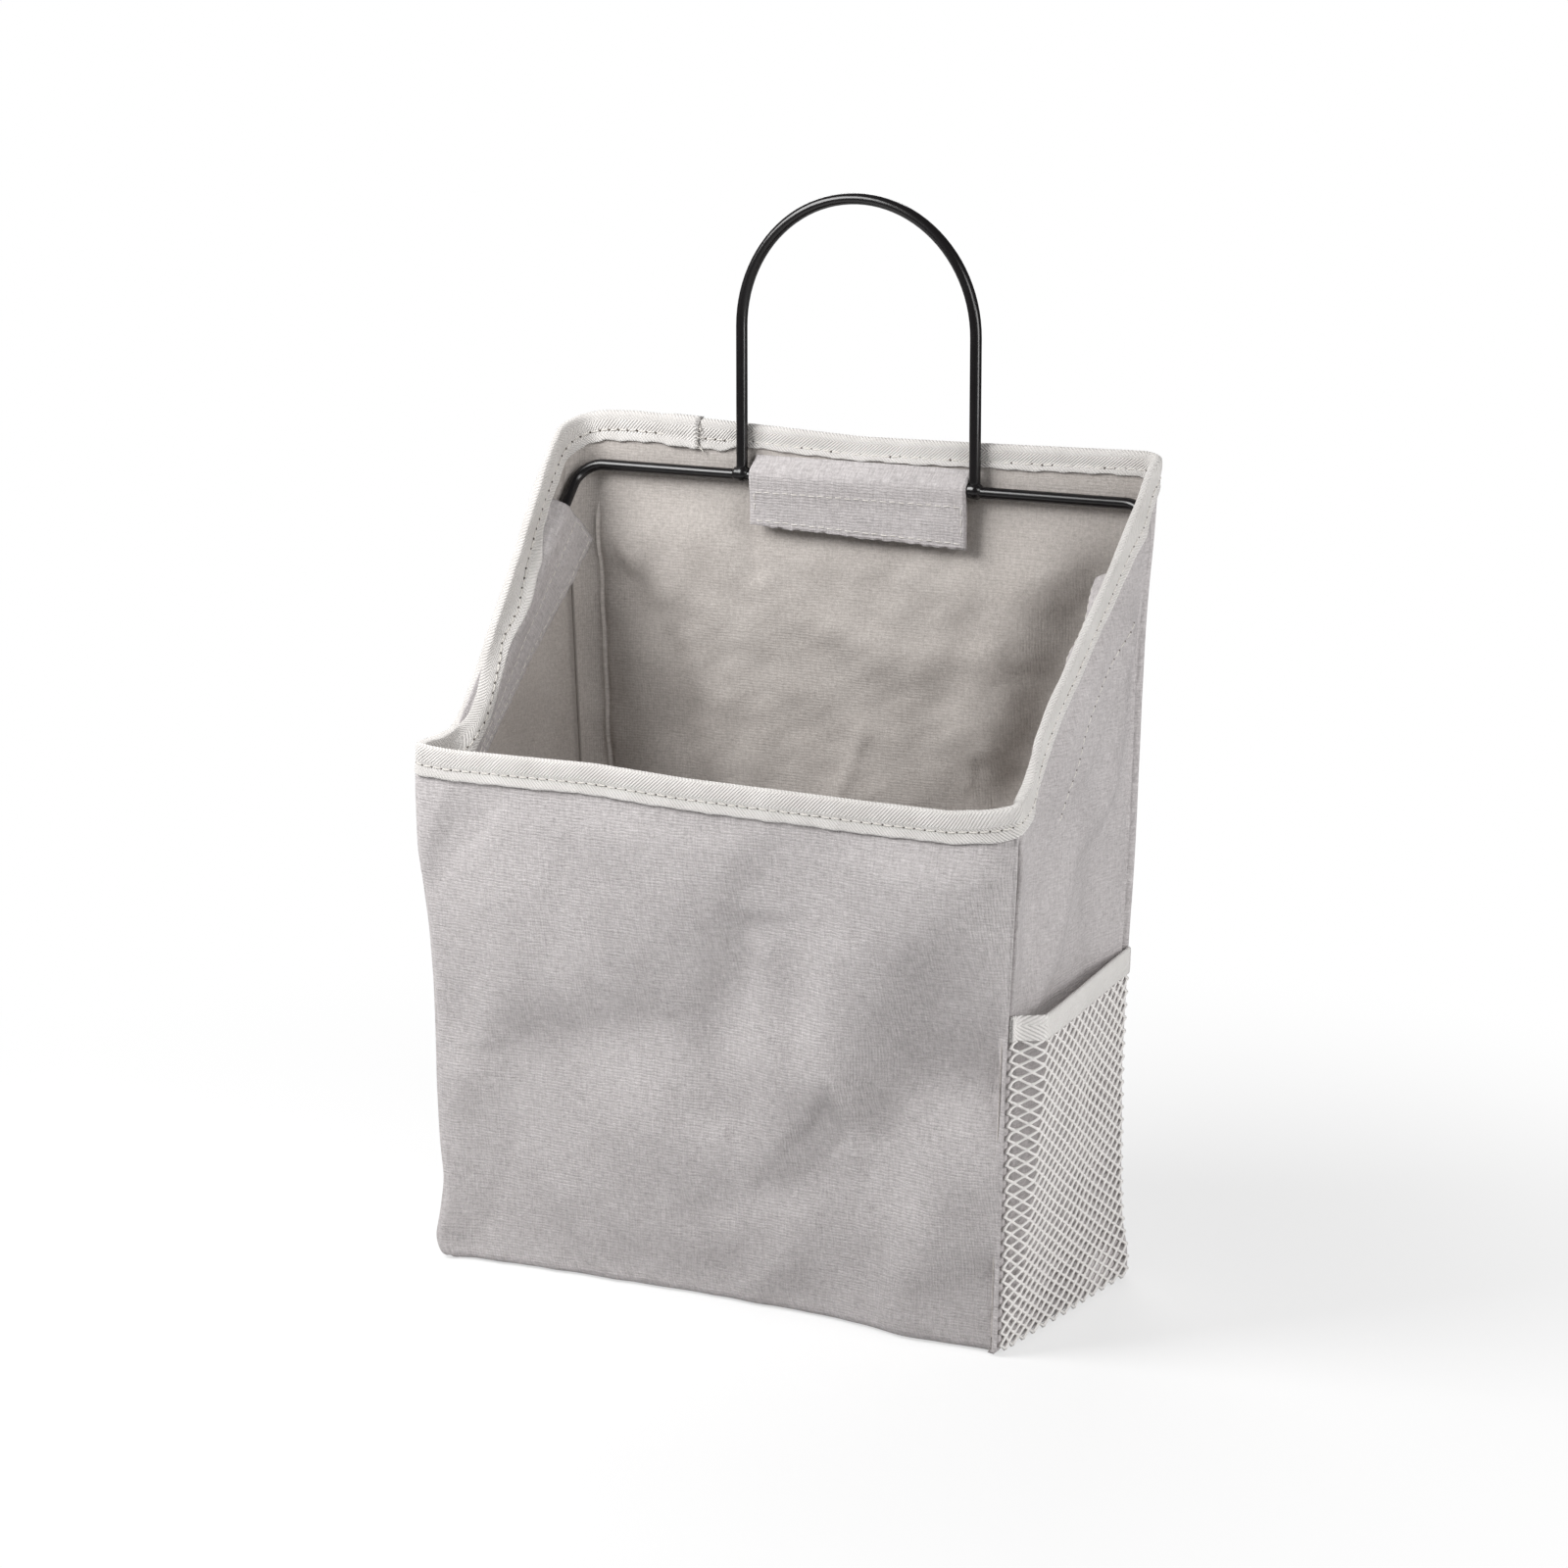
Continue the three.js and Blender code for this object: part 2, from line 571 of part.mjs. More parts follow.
for (const [side, sideSign] of [['left', -1], ['right', 1]]) {
  const front = armPoint(sideSign, SIDE_FLAP_FRONT);
  const back = armPoint(sideSign, SIDE_FLAP_BACK);
  const outward = new THREE.Vector3(sideSign, 0, -LEAN).normalize();
  const inward = outward.clone().negate();
  const down = back.clone().sub(front).cross(inward).multiplyScalar(-sideSign).normalize();
  const middle = front.clone().lerp(back, 1 / 2);
  const toWall = halfWidth(middle.z) - CANVAS_THICKNESS - Math.abs(middle.x);
  const origin = middle.clone().addScaledVector(outward, toWall * outward.x * sideSign);
  addFlap(side, origin, down, inward, front.distanceTo(back));
}

// Net pockets. The net is sewn to the bag at both seams and at the bottom, and bellies out
// between them, most of all near the front. A folded band finishes its top edge.

// How far the pocket stands off the side panel.
function pocketBelly(y, z) {
  const backward = Math.min(Math.max((y + SEAM_Y) / (2 * SEAM_Y), 0), 1);
  const upward = Math.min(z / POCKET_HEIGHT, 1);
  return POCKET_BULGE * Math.sin(Math.PI * backward ** POCKET_FULLNESS) * Math.sin((Math.PI / 2) * upward);
}

const pocketPoint = (sideSign, y, z, outward) => new THREE.Vector3(
  sideSign * (halfWidth(z) + GAP + pocketBelly(y, z) + outward),
  y,
  z,
);

const BAND_BOTTOM = POCKET_HEIGHT - BAND_HEIGHT;

// The band's steps lie closer together towards the front, where it bends most.
function pocketBand(sideSign) {
  const rings = Array.from({ length: BAND_STEPS + 1 }, (_, step) => {
    const y = -SEAM_Y + 2 * SEAM_Y * (step / BAND_STEPS) ** 2;
    return [
      pocketPoint(sideSign, y, BAND_BOTTOM, 0),
      pocketPoint(sideSign, y, POCKET_HEIGHT, 0),
      pocketPoint(sideSign, y, POCKET_HEIGHT, BAND_THICKNESS),
      pocketPoint(sideSign, y, BAND_BOTTOM, BAND_THICKNESS),
    ];
  });
  return bodyThrough(rings);
}

// The meshes of the net: whole diamonds, and along its edges the halves and quarters left of
// them. Each is a list of corners, anticlockwise, on a grid that counts in half diamonds.
const NET_GRID = new THREE.Vector2(2 * NET_COLUMNS, 2 * NET_ROWS);

function netMeshes() {
  const apart = (tip, place, tips) => !tip.equals(tips[(place + 1) % tips.length]);
  const bends = (tip, place, tips) => {
    const before = tips[(place + tips.length - 1) % tips.length];
    return tip.clone().sub(before).cross(tips[(place + 1) % tips.length].clone().sub(tip)) !== 0;
  };
  const meshes = [];
  for (let column = 0; column <= NET_GRID.x; column += 1) {
    for (let row = column % 2; row <= NET_GRID.y; row += 2) {
      const tips = [[1, 0], [0, 1], [-1, 0], [0, -1]].map(([across, up]) => (
        new THREE.Vector2(column + across, row + up).clamp(new THREE.Vector2(), NET_GRID)
      ));
      meshes.push(tips.filter(apart).filter(bends));
    }
  }
  return meshes;
}

// Whether a mesh's side lies along the edge of the net.
const alongEdge = (from, to) => ['x', 'y'].some((axis) => (
  from[axis] === to[axis] && [0, NET_GRID[axis]].includes(from[axis])
));

// The hole inside a mesh: each side moved in by half a strand, or by the hem where it is an edge.
function meshHole(corners, margins) {
  const lines = corners.map((from, place) => {
    const to = corners[(place + 1) % corners.length];
    const inward = new THREE.Vector2(from.y - to.y, to.x - from.x).normalize();
    return { inward, reach: inward.dot(from) + margins[place] };
  });
  return lines.map((line, place) => {
    const before = lines[(place + lines.length - 1) % lines.length];
    const spread = before.inward.cross(line.inward);
    return new THREE.Vector2(
      (before.reach * line.inward.y - line.reach * before.inward.y) / spread,
      (line.reach * before.inward.x - before.reach * line.inward.x) / spread,
    );
  });
}

// The net between both side seams, from the floor to the band.
function pocketNet(sideSign) {
  const low = new THREE.Vector2(-SEAM_Y, POCKET_FLOOR);
  const high = new THREE.Vector2(SEAM_Y, BAND_BOTTOM - GAP);
  const half = high.clone().sub(low).divide(NET_GRID);
  const positions = [];
  const addQuad = (...corners) => {
    const points = corners.map(([flat, outward]) => pocketPoint(sideSign, flat.x, flat.y, outward));
    [0, 1, 2, 0, 2, 3].forEach((place) => positions.push(...points[place].toArray()));
  };
  for (const grid of netMeshes()) {
    const edges = grid.map((from, place) => alongEdge(from, grid[(place + 1) % grid.length]));
    const corners = grid.map((tip) => tip.clone().multiply(half).add(low));
    const hole = meshHole(corners, edges.map((edge) => (edge ? NET_HEM : NET_STRAND / 2)));
    corners.forEach((from, place) => {
      const next = (place + 1) % corners.length;
      const to = corners[next];
      const [near, far] = [hole[place], hole[next]];
      addQuad([from, NET_THICKNESS], [to, NET_THICKNESS], [far, NET_THICKNESS], [near, NET_THICKNESS]);
      addQuad([near, 0], [far, 0], [to, 0], [from, 0]);
      addQuad([near, NET_THICKNESS], [far, NET_THICKNESS], [far, 0], [near, 0]);
      if (edges[place]) addQuad([from, 0], [to, 0], [to, NET_THICKNESS], [from, NET_THICKNESS]);
    });
  }
  return closedBody(positions, Array.from({ length: positions.length / 3 }, (_, place) => place));
}

for (const [side, sideSign] of [['left', -1], ['right', 1]]) {
  addPiece(`${side}_pocket_net`, pocketNet(sideSign), netting());
  addPiece(`${side}_pocket_band`, pocketBand(sideSign), tape());
}

export default bag;
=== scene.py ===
import math

import bpy
import numpy as np
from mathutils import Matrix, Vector


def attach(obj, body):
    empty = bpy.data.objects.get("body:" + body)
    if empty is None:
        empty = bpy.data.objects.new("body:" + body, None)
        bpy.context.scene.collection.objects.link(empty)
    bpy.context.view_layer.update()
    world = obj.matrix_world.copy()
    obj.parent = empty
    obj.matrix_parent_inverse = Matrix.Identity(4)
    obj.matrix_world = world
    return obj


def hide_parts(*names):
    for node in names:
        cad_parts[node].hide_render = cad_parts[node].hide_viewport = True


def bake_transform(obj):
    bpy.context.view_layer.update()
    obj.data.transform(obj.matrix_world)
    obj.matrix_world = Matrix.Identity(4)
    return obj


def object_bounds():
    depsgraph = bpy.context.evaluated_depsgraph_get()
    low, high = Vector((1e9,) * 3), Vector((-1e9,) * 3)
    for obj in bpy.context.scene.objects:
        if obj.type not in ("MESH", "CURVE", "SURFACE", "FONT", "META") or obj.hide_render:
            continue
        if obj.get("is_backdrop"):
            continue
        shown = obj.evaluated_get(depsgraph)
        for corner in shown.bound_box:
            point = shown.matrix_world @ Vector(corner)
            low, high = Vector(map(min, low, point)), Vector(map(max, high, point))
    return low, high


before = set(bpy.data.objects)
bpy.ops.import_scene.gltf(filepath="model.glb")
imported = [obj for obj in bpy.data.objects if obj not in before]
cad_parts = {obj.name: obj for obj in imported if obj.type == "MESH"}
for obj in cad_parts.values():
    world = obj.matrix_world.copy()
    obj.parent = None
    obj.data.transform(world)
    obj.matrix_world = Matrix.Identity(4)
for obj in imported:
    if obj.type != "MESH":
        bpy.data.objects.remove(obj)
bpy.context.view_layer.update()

# Hanging storage bag of grey canvas, held open by a wire ring, with net pockets and a hoop to hang it by.
# Lengths in the sections are in millimetres. X is the width, -Y the front, +Y the wall behind and Z up.
scene = bpy.context.scene
MM = 0.001


# Photo studio: a pale floor that runs out to white, a soft lamp close by on the left whose light falls off
# across the front, two weaker ones on the right and one behind. The camera stands where the photo was taken.
PHOTO_PIXELS = 1600
FOCAL_PIXELS = 4529
SENSOR_WIDTH = 36
CAMERA_PLACE = (0.6319, -1.1335, 0.4157)
CAMERA_YAW = math.radians(29.17)
CAMERA_PITCH = math.radians(11.6)
PAPER_WHITE, PAPER_SEEN = "#D2D2D2", "#F4F4F4"
LAMP_WHITE = "#FFFFFF"
SKY_STRENGTH = 0.12
LAMPS = [
    ("softbox_left", (-0.370, -0.333, 0.548), (0.42, 0.30), 5.0),
    ("softbox_right", (1.040, -0.485, 0.740), (0.50, 0.50), 4.5),
    ("softbox_side", (1.282, -0.112, 0.311), (0.50, 0.50), 6.5),
    ("softbox_back", (-0.550, 0.950, 0.900), (0.60, 0.60), 6.0),
]
LAMP_AIM = (0, 0, 0.13)
FLOOR_RADIUS, FLOOR_SIDES, FLOOR_SINK = 6.0, 96, 0.0004
FADE_START, FADE_END, FADE_LEAST = 0.14, 0.42, 0.62


def linear(code):
    """An sRGB hex colour as linear red, green, blue and a full alpha."""
    parts = [int(code[i:i + 2], 16) / 255 for i in (1, 3, 5)]
    return [c / 12.92 if c <= 0.04045 else ((c + 0.055) / 1.055) ** 2.4 for c in parts] + [1]


def add(tree, kind, inputs=None, **settings):
    """One node of a tree with its settings. An input is given a value, an output, or a node for its first
    output."""
    made = tree.nodes.new("ShaderNode" + kind)
    for name, value in settings.items():
        setattr(made, name, value)
    for name, value in (inputs or {}).items():
        if isinstance(value, bpy.types.Node):
            value = value.outputs[0]
        if isinstance(value, bpy.types.NodeSocket):
            tree.links.new(value, made.inputs[name])
        else:
            made.inputs[name].default_value = value
    return made


def new_material(name):
    made = bpy.data.materials.new(name)
    made.use_nodes = True
    made.node_tree.nodes.clear()
    return made, made.node_tree


camera = bpy.data.objects.new("camera", bpy.data.cameras.new("camera"))
camera.data.sensor_width = SENSOR_WIDTH
camera.data.lens = FOCAL_PIXELS / PHOTO_PIXELS * SENSOR_WIDTH
camera.location = CAMERA_PLACE
looking = Vector((
    -math.sin(CAMERA_YAW) * math.cos(CAMERA_PITCH),
    math.cos(CAMERA_YAW) * math.cos(CAMERA_PITCH),
    -math.sin(CAMERA_PITCH),
))
camera.rotation_mode = "QUATERNION"
camera.rotation_quaternion = looking.to_track_quat("-Z", "Y")
scene.collection.objects.link(camera)
scene.camera = camera
scene.view_settings.view_transform = "Standard"

for name, place, size, power in LAMPS:
    lamp = bpy.data.objects.new(name, bpy.data.lights.new(name, "AREA"))
    lamp.data.shape = "RECTANGLE"
    lamp.data.size, lamp.data.size_y = size
    lamp.data.energy = power
    lamp.data.color = linear(LAMP_WHITE)[:3]
    lamp.location = place
    lamp.rotation_mode = "QUATERNION"
    lamp.rotation_quaternion = (Vector(LAMP_AIM) - Vector(place)).to_track_quat("-Z", "Y")
    scene.collection.objects.link(lamp)


def seen_directly(tree):
    """1 for a ray that shows the backdrop itself. Gloss mirrors the dimmer studio, as on a real wire."""
    return add(tree, "LightPath").outputs["Is Camera Ray"]


world = bpy.data.worlds.new("studio")
scene.world = world
world.use_nodes = True
sky = world.node_tree
sky.nodes.clear()
strength = add(sky, "MapRange", {"Value": seen_directly(sky), "To Min": SKY_STRENGTH, "To Max": 1.0})
glow = add(sky, "Background", {"Color": (1, 1, 1, 1), "Strength": strength})
add(sky, "OutputWorld", {"Surface": glow})

# Seamless white paper: matt, lit as an object is, and plain white beyond the object's shadow.
paper, tree = new_material("seamless_paper")
place = add(tree, "TexCoord").outputs["Object"]
distance = add(tree, "VectorMath", {0: place}, operation="LENGTH").outputs["Value"]
fade = add(tree, "MapRange", {"Value": distance, "From Min": FADE_START, "From Max": FADE_END,
                              "To Min": FADE_LEAST}, interpolation_type="SMOOTHSTEP")
share = add(tree, "Math", {0: fade, 1: seen_directly(tree)}, operation="MULTIPLY")
shade = add(tree, "Mix", {0: seen_directly(tree), 6: linear(PAPER_WHITE), 7: linear(PAPER_SEEN)},
            data_type="RGBA")
matt = add(tree, "BsdfDiffuse", {"Color": shade.outputs[2]})
white = add(tree, "Emission", {"Color": (1, 1, 1, 1)})
both = add(tree, "MixShader", {0: share, 1: matt, 2: white})
add(tree, "OutputMaterial", {"Surface": both})

floor_mesh = bpy.data.meshes.new("floor")
turns = np.linspace(0, 2 * np.pi, FLOOR_SIDES, endpoint=False)
floor_mesh.from_pydata([(FLOOR_RADIUS * math.cos(t), FLOOR_RADIUS * math.sin(t), 0) for t in turns],
                       [], [list(range(FLOOR_SIDES))])
floor_mesh.materials.append(paper)
floor = bpy.data.objects.new("floor", floor_mesh)
floor.location.z = -FLOOR_SINK
scene.collection.objects.link(floor)
floor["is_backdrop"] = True


# Canvas walls and base: five pieces of plain-woven cotton canvas, seamed inside out and turned. The front is
# turned round both front corners and the back round both back corners, so the seams lie on the sides.
# The four walls are cut from one map of the stretched bag: way mm round it, and up mm above the floor.
FRONT_RUN, SIDE_RUN, BACK_RUN = 200.0, 86.0, 210.0
FRONT_TURN, RIGHT_TURN, BACK_TURN = 8.0, 14.0, 12.0
RIGHT_START = FRONT_RUN
BACK_START = RIGHT_START + SIDE_RUN
LEFT_START = BACK_START + BACK_RUN
AROUND = LEFT_START + SIDE_RUN
FRONT_Y, BACK_Y = -47.5, 47.5
BACK_ROUND_X, BACK_ROUND_Y = 8.0, 11.0
CANVAS = 0.8
WELT = 2.5
ALLOWANCE = 11.5
# Where the cloth of a wall starts above the floor, and how far it ends below the rim line.
WALL_FOOT, WALL_HEAD = 0.25, 0.5
TAPE_COVERS = 9.5
# How far from a seam a wall's folds reach their full depth, and how they fade below the binding.
SEAM_CALM = 12.0
RIM_CALM, RIM_FADE, RIM_KEEPS = 7.0, 15.0, 0.12
THREAD_PITCH = 0.9
SLUB_LENGTH, SLUB_WIDTH = 4.5, 0.6
CANVAS_DARK, CANVAS_LIGHT = "#A39E9E", "#D2CDCD"
LINING_DARK, LINING_LIGHT = "#A19A95", "#CFC9C4"
# Painted shadow: the dark colour mixed into the outside of the canvas along its seams, where the groove's
# shade falls.
SEAM_PAINTED_SHADOW = "#5E5957"
# The seams, each with the way from it to its side wall, which lies deeper than the cloth on its other side.
SEAMS = {0.0: -1, AROUND: -1, RIGHT_START: 1, BACK_START: -1, LEFT_START: 1}
SEAM_GROOVE, SEAM_WIDTH, SEAM_SHIFT = 1.7, 0.75, 0.2
SIDE_STEP, STEP_FADE = 0.9, 2.2
SEAM_SWELL, SWELL_PLACE = 0.7, 2.0


def reached(line):
    """How far along a line each of its points lies."""
    return np.concatenate([[0], np.cumsum(np.linalg.norm(np.diff(line, axis=0), axis=1))])


def drawn(points, blur):
    """A smooth curve through measured points, which gives the second number of each from the first."""
    at, value = np.array(points, float).T
    step = 0.25
    pad = int(4 * blur / step)
    fine = np.arange(at[0] - pad * step, at[-1] + pad * step, step)
    weight = np.exp(-0.5 * (np.arange(-pad, pad + 1) * step / blur) ** 2)
    smooth = np.convolve(np.interp(fine, at, value), weight / weight.sum(), "same")
    inside = slice(pad, len(fine) - pad)
    return lambda x: np.interp(x, fine[inside], smooth[inside])


def eased(t):
    t = np.clip(t, 0, 1)
    return t * t * (3 - 2 * t)


def window(t, start, rise, end, fall):
    """1 between two places, eased in over rise from the first and out over fall to the second."""
    return eased((t - start) / rise) * eased((end - t) / fall)


def unit(vectors):
    return vectors / np.linalg.norm(vectors, axis=-1, keepdims=True)


def ripple(a, b, length, seed):
    """Soft random waves of about that length in mm, between -1 and 1."""
    draw = np.random.default_rng(seed)
    total = 0
    for _ in range(7):
        angle, phase = draw.uniform(0, np.pi), draw.uniform(0, 2 * np.pi)
        turn = 2 * np.pi / (length * draw.uniform(0.7, 1.5))
        total = total + np.cos(turn * (a * np.cos(angle) + b * np.sin(angle)) + phase)
    return total / 4.5


def fold(a, b, line, depth, left, right, sharp=False):
    """How far a crease along a line moves the cloth: depth on it, fading over left and right mm."""
    away = np.full(np.shape(a), 1e9)
    width = np.full(np.shape(a), float(left))
    for (a0, b0), (a1, b1) in zip(line, line[1:]):
        run, rise = a1 - a0, b1 - b0
        share = np.clip(((a - a0) * run + (b - b0) * rise) / (run * run + rise * rise), 0, 1)
        gap = np.hypot(a - a0 - share * run, b - b0 - share * rise)
        side = np.where(run * (b - b0) - rise * (a - a0) > 0, left, right)
        width = np.where(gap < away, side, width)
        away = np.minimum(gap, away)
    near = away / width
    return depth * (np.exp(-near) if sharp else np.exp(-near * near))


def mound(a, b, middle, reach, height):
    return height * np.exp(-((a - middle[0]) / reach[0]) ** 2 - ((b - middle[1]) / reach[1]) ** 2)


def creases(a, b, lines):
    """Several folds at once, each with its line, depth and widths."""
    return sum(fold(a, b, *one) for one in lines)


# Where the four corners stand at each height. The wire pushes the rim out and the walls sag in below it.
left_front = drawn([(-9, -93.8), (0, -94.3), (5, -98.1), (12, -96.1), (25, -94), (37, -95.4), (55, -96.1),
                    (86, -96.5), (104, -97.7), (116, -99.6), (128, -101.6), (146, -102.1), (153, -101.9),
                    (160, -100.9), (170, -100.7), (270, -100.7)], 2.5)
right_front = drawn([(-9, 94.0), (0, 94.3), (60, 95.7), (97, 96.8), (130, 98.2), (153, 99.2), (165, 99.8),
                     (270, 103)], 6)
right_back = drawn([(-9, 94.4), (0, 95.2), (6, 96.4), (12, 94.9), (18, 93.8), (30, 93.2), (67, 92.9),
                    (97, 94.2), (133, 96.2), (181, 97.6), (205, 98.6), (222, 99.4), (233, 100.8),
                    (246, 102.0), (260, 102.4)], 4)
left_back = drawn([(-9, -94.2), (0, -95), (6, -96.2), (14, -94.8), (60, -94.4), (110, -95.4), (160, -98),
                   (200, -99.8), (250, -102), (262, -102.4)], 4)
right_round_x = drawn([(-9, 2.5), (60, 3), (97, 4.5), (130, 9), (150, 14), (170, 15), (270, 15)], 8)
right_round_y = drawn([(-9, 1.6), (60, 1.8), (97, 2.2), (150, 3.2), (270, 3.2)], 8)
LEFT_ROUND = 3.6
# The ring's arms press the side walls out to the bag's own lean, and above them the rim leans in again.
WIRE_START, WIRE_CLIMB = (-43.75, 138.5), 1.0971
BASE_HALF, RIM_HALF, RIM_HALF_LEFT, SIDE_LEAN = 94.8, 92.9, 94.0, 0.03
# Beyond this x a point is on a side wall, and this far above and below the wire the wall follows it.
SIDE_X, WIRE_PRESSES = 80.0, 17.0
BACK_SHORTER = 1.2

# The rim: low and level in front, sloping up both sides, high behind.
rim = drawn([(-20, 160.0), (0, 160.2), (8, 159.6), (17, 158.9), (66, 159.7), (96, 158.3), (155, 157.6),
             (180, 157.6), (189, 158.8), (195, 160.6), (200, 161.8), (203, 163.4), (207, 166.3),
             (210.7, 171.2), (215.3, 177.6), (223.9, 186.9), (235.5, 196.1), (244.8, 204.5),
             (255.4, 213.2), (266, 222.8), (273, 231.0), (278.5, 239.2), (282.5, 244.8), (287, 248.2),
             (298, 249.4), (345, 248.5), (391, 247.9), (440, 250.0), (470, 251.1), (481, 250.8),
             (489, 249.2), (495, 246.6), (500.5, 242.2), (506, 237.0), (514, 227.4), (524.5, 212.4),
             (533.6, 200.6), (542.2, 190.2), (549, 181.0), (554.5, 173.9), (559, 168.4), (563.5, 164.2),
             (569, 161.5), (575.8, 160.3), (582, 160.2), (602, 159.4)], 1.6)


def clear_of_tape(way, up):
    """0 where the rim binding covers the cloth, and 1 from 3 mm below it."""
    return eased((rim(way) - TAPE_COVERS - up) / 3)


def wire_height(y):
    """Height of the ring's middle line beside the place y."""
    return WIRE_START[1] + (y - WIRE_START[0]) * WIRE_CLIMB


def outline(way, up):
    """Points on the outer face of the walls before its folds, stretched between the four corner lines."""
    way = np.mod(way, AROUND)
    front_left, front_right = left_front(up), right_front(up)
    back_left, back_right = left_back(up), right_back(up)
    round_x, round_y = right_round_x(up), right_round_y(up)
    side_back = BACK_Y - BACK_ROUND_Y
    arc = np.pi / 2
    # Round the bag from the left front corner: each stretch's length, and its x and y as t goes from 0 to 1.
    stretches = [
        (FRONT_TURN,
         lambda t: front_left + LEFT_ROUND * (1 - np.cos(arc * t)),
         lambda t: FRONT_Y + LEFT_ROUND * (1 - np.sin(arc * t))),
        (FRONT_RUN - FRONT_TURN - RIGHT_TURN,
         lambda t: front_left + LEFT_ROUND + t * (front_right - round_x - front_left - LEFT_ROUND),
         lambda t: FRONT_Y),
        (RIGHT_TURN,
         lambda t: front_right - round_x * (1 - np.sin(arc * t)),
         lambda t: FRONT_Y + round_y * (1 - np.cos(arc * t))),
        (SIDE_RUN,
         lambda t: front_right + (back_right - front_right) * eased(t * 0.9 + 0.05),
         lambda t: FRONT_Y + round_y + t * (side_back - FRONT_Y - round_y)),
        (BACK_TURN,
         lambda t: back_right - BACK_ROUND_X * (1 - np.cos(arc * t)),
         lambda t: BACK_Y - BACK_ROUND_Y * (1 - np.sin(arc * t))),
        (BACK_RUN - 2 * BACK_TURN,
         lambda t: back_right - BACK_ROUND_X + t * (back_left - back_right + 2 * BACK_ROUND_X),
         lambda t: BACK_Y),
        (BACK_TURN,
         lambda t: back_left + BACK_ROUND_X * (1 - np.sin(arc * t)),
         lambda t: BACK_Y - BACK_ROUND_Y * (1 - np.cos(arc * t))),
        (SIDE_RUN,
         lambda t: back_left + (front_left - back_left) * eased(t * 0.9 + 0.05),
         lambda t: side_back + t * (FRONT_Y + LEFT_ROUND - side_back)),
    ]
    start, x, y = 0, 0, 0
    for length, x_at, y_at in stretches:
        t = np.clip((way - start) / length, 0, 1)
        on = (way > start) | (start == 0)
        x, y = np.where(on, x_at(t), x), np.where(on, y_at(t), y)
        start += length
    on_side = np.abs(x) > SIDE_X
    near = np.exp(-((up - wire_height(y)) / WIRE_PRESSES) ** 2)
    side = window(y, -46.5, 5, 45, 9) * on_side
    arms = window(y, -38, 9, np.where(x > 0, 31, 40), 11) * on_side
    short = BASE_HALF - BACK_SHORTER * eased((y - 30) / 8) + SIDE_LEAN * up - np.abs(x)
    x = x + np.sign(x) * near * (np.maximum(short, 0) * side + np.minimum(short, 0) * arms)
    over = eased((up - wire_height(y) - 2) / 8) * arms
    x = x + np.sign(x) * over * (np.where(x > 0, RIM_HALF, RIM_HALF_LEFT) + SIDE_LEAN * up - np.abs(x))
    return np.stack([x, y, up + 0 * x], -1)


def front_folds(x, z):
    """The creases of the front, as it was folded flat in its packet and then opened."""
    out = 0.8 * ripple(x, z * 0.8, 62, 11) + 0.3 * ripple(x * 1.3, z, 21, 12)
    out = out + 0.16 * ripple(x * 1.2, z * 0.8, 9, 13)
    out = out + creases(x, z, [
        ([(-90, 151), (-93, 138), (-99, 124)], 2.8, 6, 7),
        ([(-78, 149), (-86, 137), (-99, 122)], -4.2, 8, 17),
        ([(-70.5, 112), (-70, 95), (-76, 70), (-88, 55)], 2.2, 15, 10),
        ([(-66, 72), (-44, 77), (-22, 84)], -1.7, 8, 12),
        ([(31, 146), (20, 131), (12, 111), (4, 92), (0, 77), (3, 62)], -2.4, 13, 9),
        ([(19, 108), (19, 87), (22, 68), (23, 48)], 1.3, 7, 7),
        ([(44, 110), (42, 90), (38, 74)], 1.9, 10, 9),
        ([(87, 149), (76, 130), (58, 111), (49, 83), (42, 74)], 4.3, 13, 22),
        ([(41.5, 75), (44.5, 64), (48.5, 52)], 2.1, 2.0, 5.5, True),
        ([(48.5, 52), (50.5, 41), (52, 29)], 0.55, 3.5, 2.5, True),
        ([(53, 66), (61, 75), (74, 79), (93, 80)], -4.0, 15, 11),
        ([(66, 7), (72, 28), (82, 48)], 3.8, 13, 13),
        ([(72, 13), (84, 20), (95, 24)], -1.2, 6, 8),
        ([(-68, 43), (-73, 26), (-83, 5)], -1.3, 3.5, 7, True),
        ([(-88, 58), (-90, 34), (-92, 12)], 1.3, 6, 7),
        ([(-9, 26), (12, 36), (36, 46)], -1.2, 8, 7),
        ([(10, 4), (24, 18), (29, 28)], 1.2, 6, 7),
    ])
    out = out + mound(x, z, (-30, 118), (40, 26), 0.9) + mound(x, z, (-34, 52), (30, 16), 1.2)
    # The upper part stands fuller than the lower one, along a wavy line. The wire stops what sinks in.
    out = out - 2.4 + 3.9 * eased((z - 72 - 16 * np.sin(x / 31 + 0.6) - 0.1 * x) / 52)
    deepest = -0.55 - (1 - eased((z - 94) / 30)) * 20
    out = deepest + 0.5 * (out - deepest + np.sqrt((out - deepest) ** 2 + 0.8))
    # The foot is drawn in between the corners.
    middle = np.clip(1 - (x / 96) ** 2, 0, 1)
    return out - 5.5 * middle * np.exp(-(np.clip(z, 0, 99) / 19) ** 2)


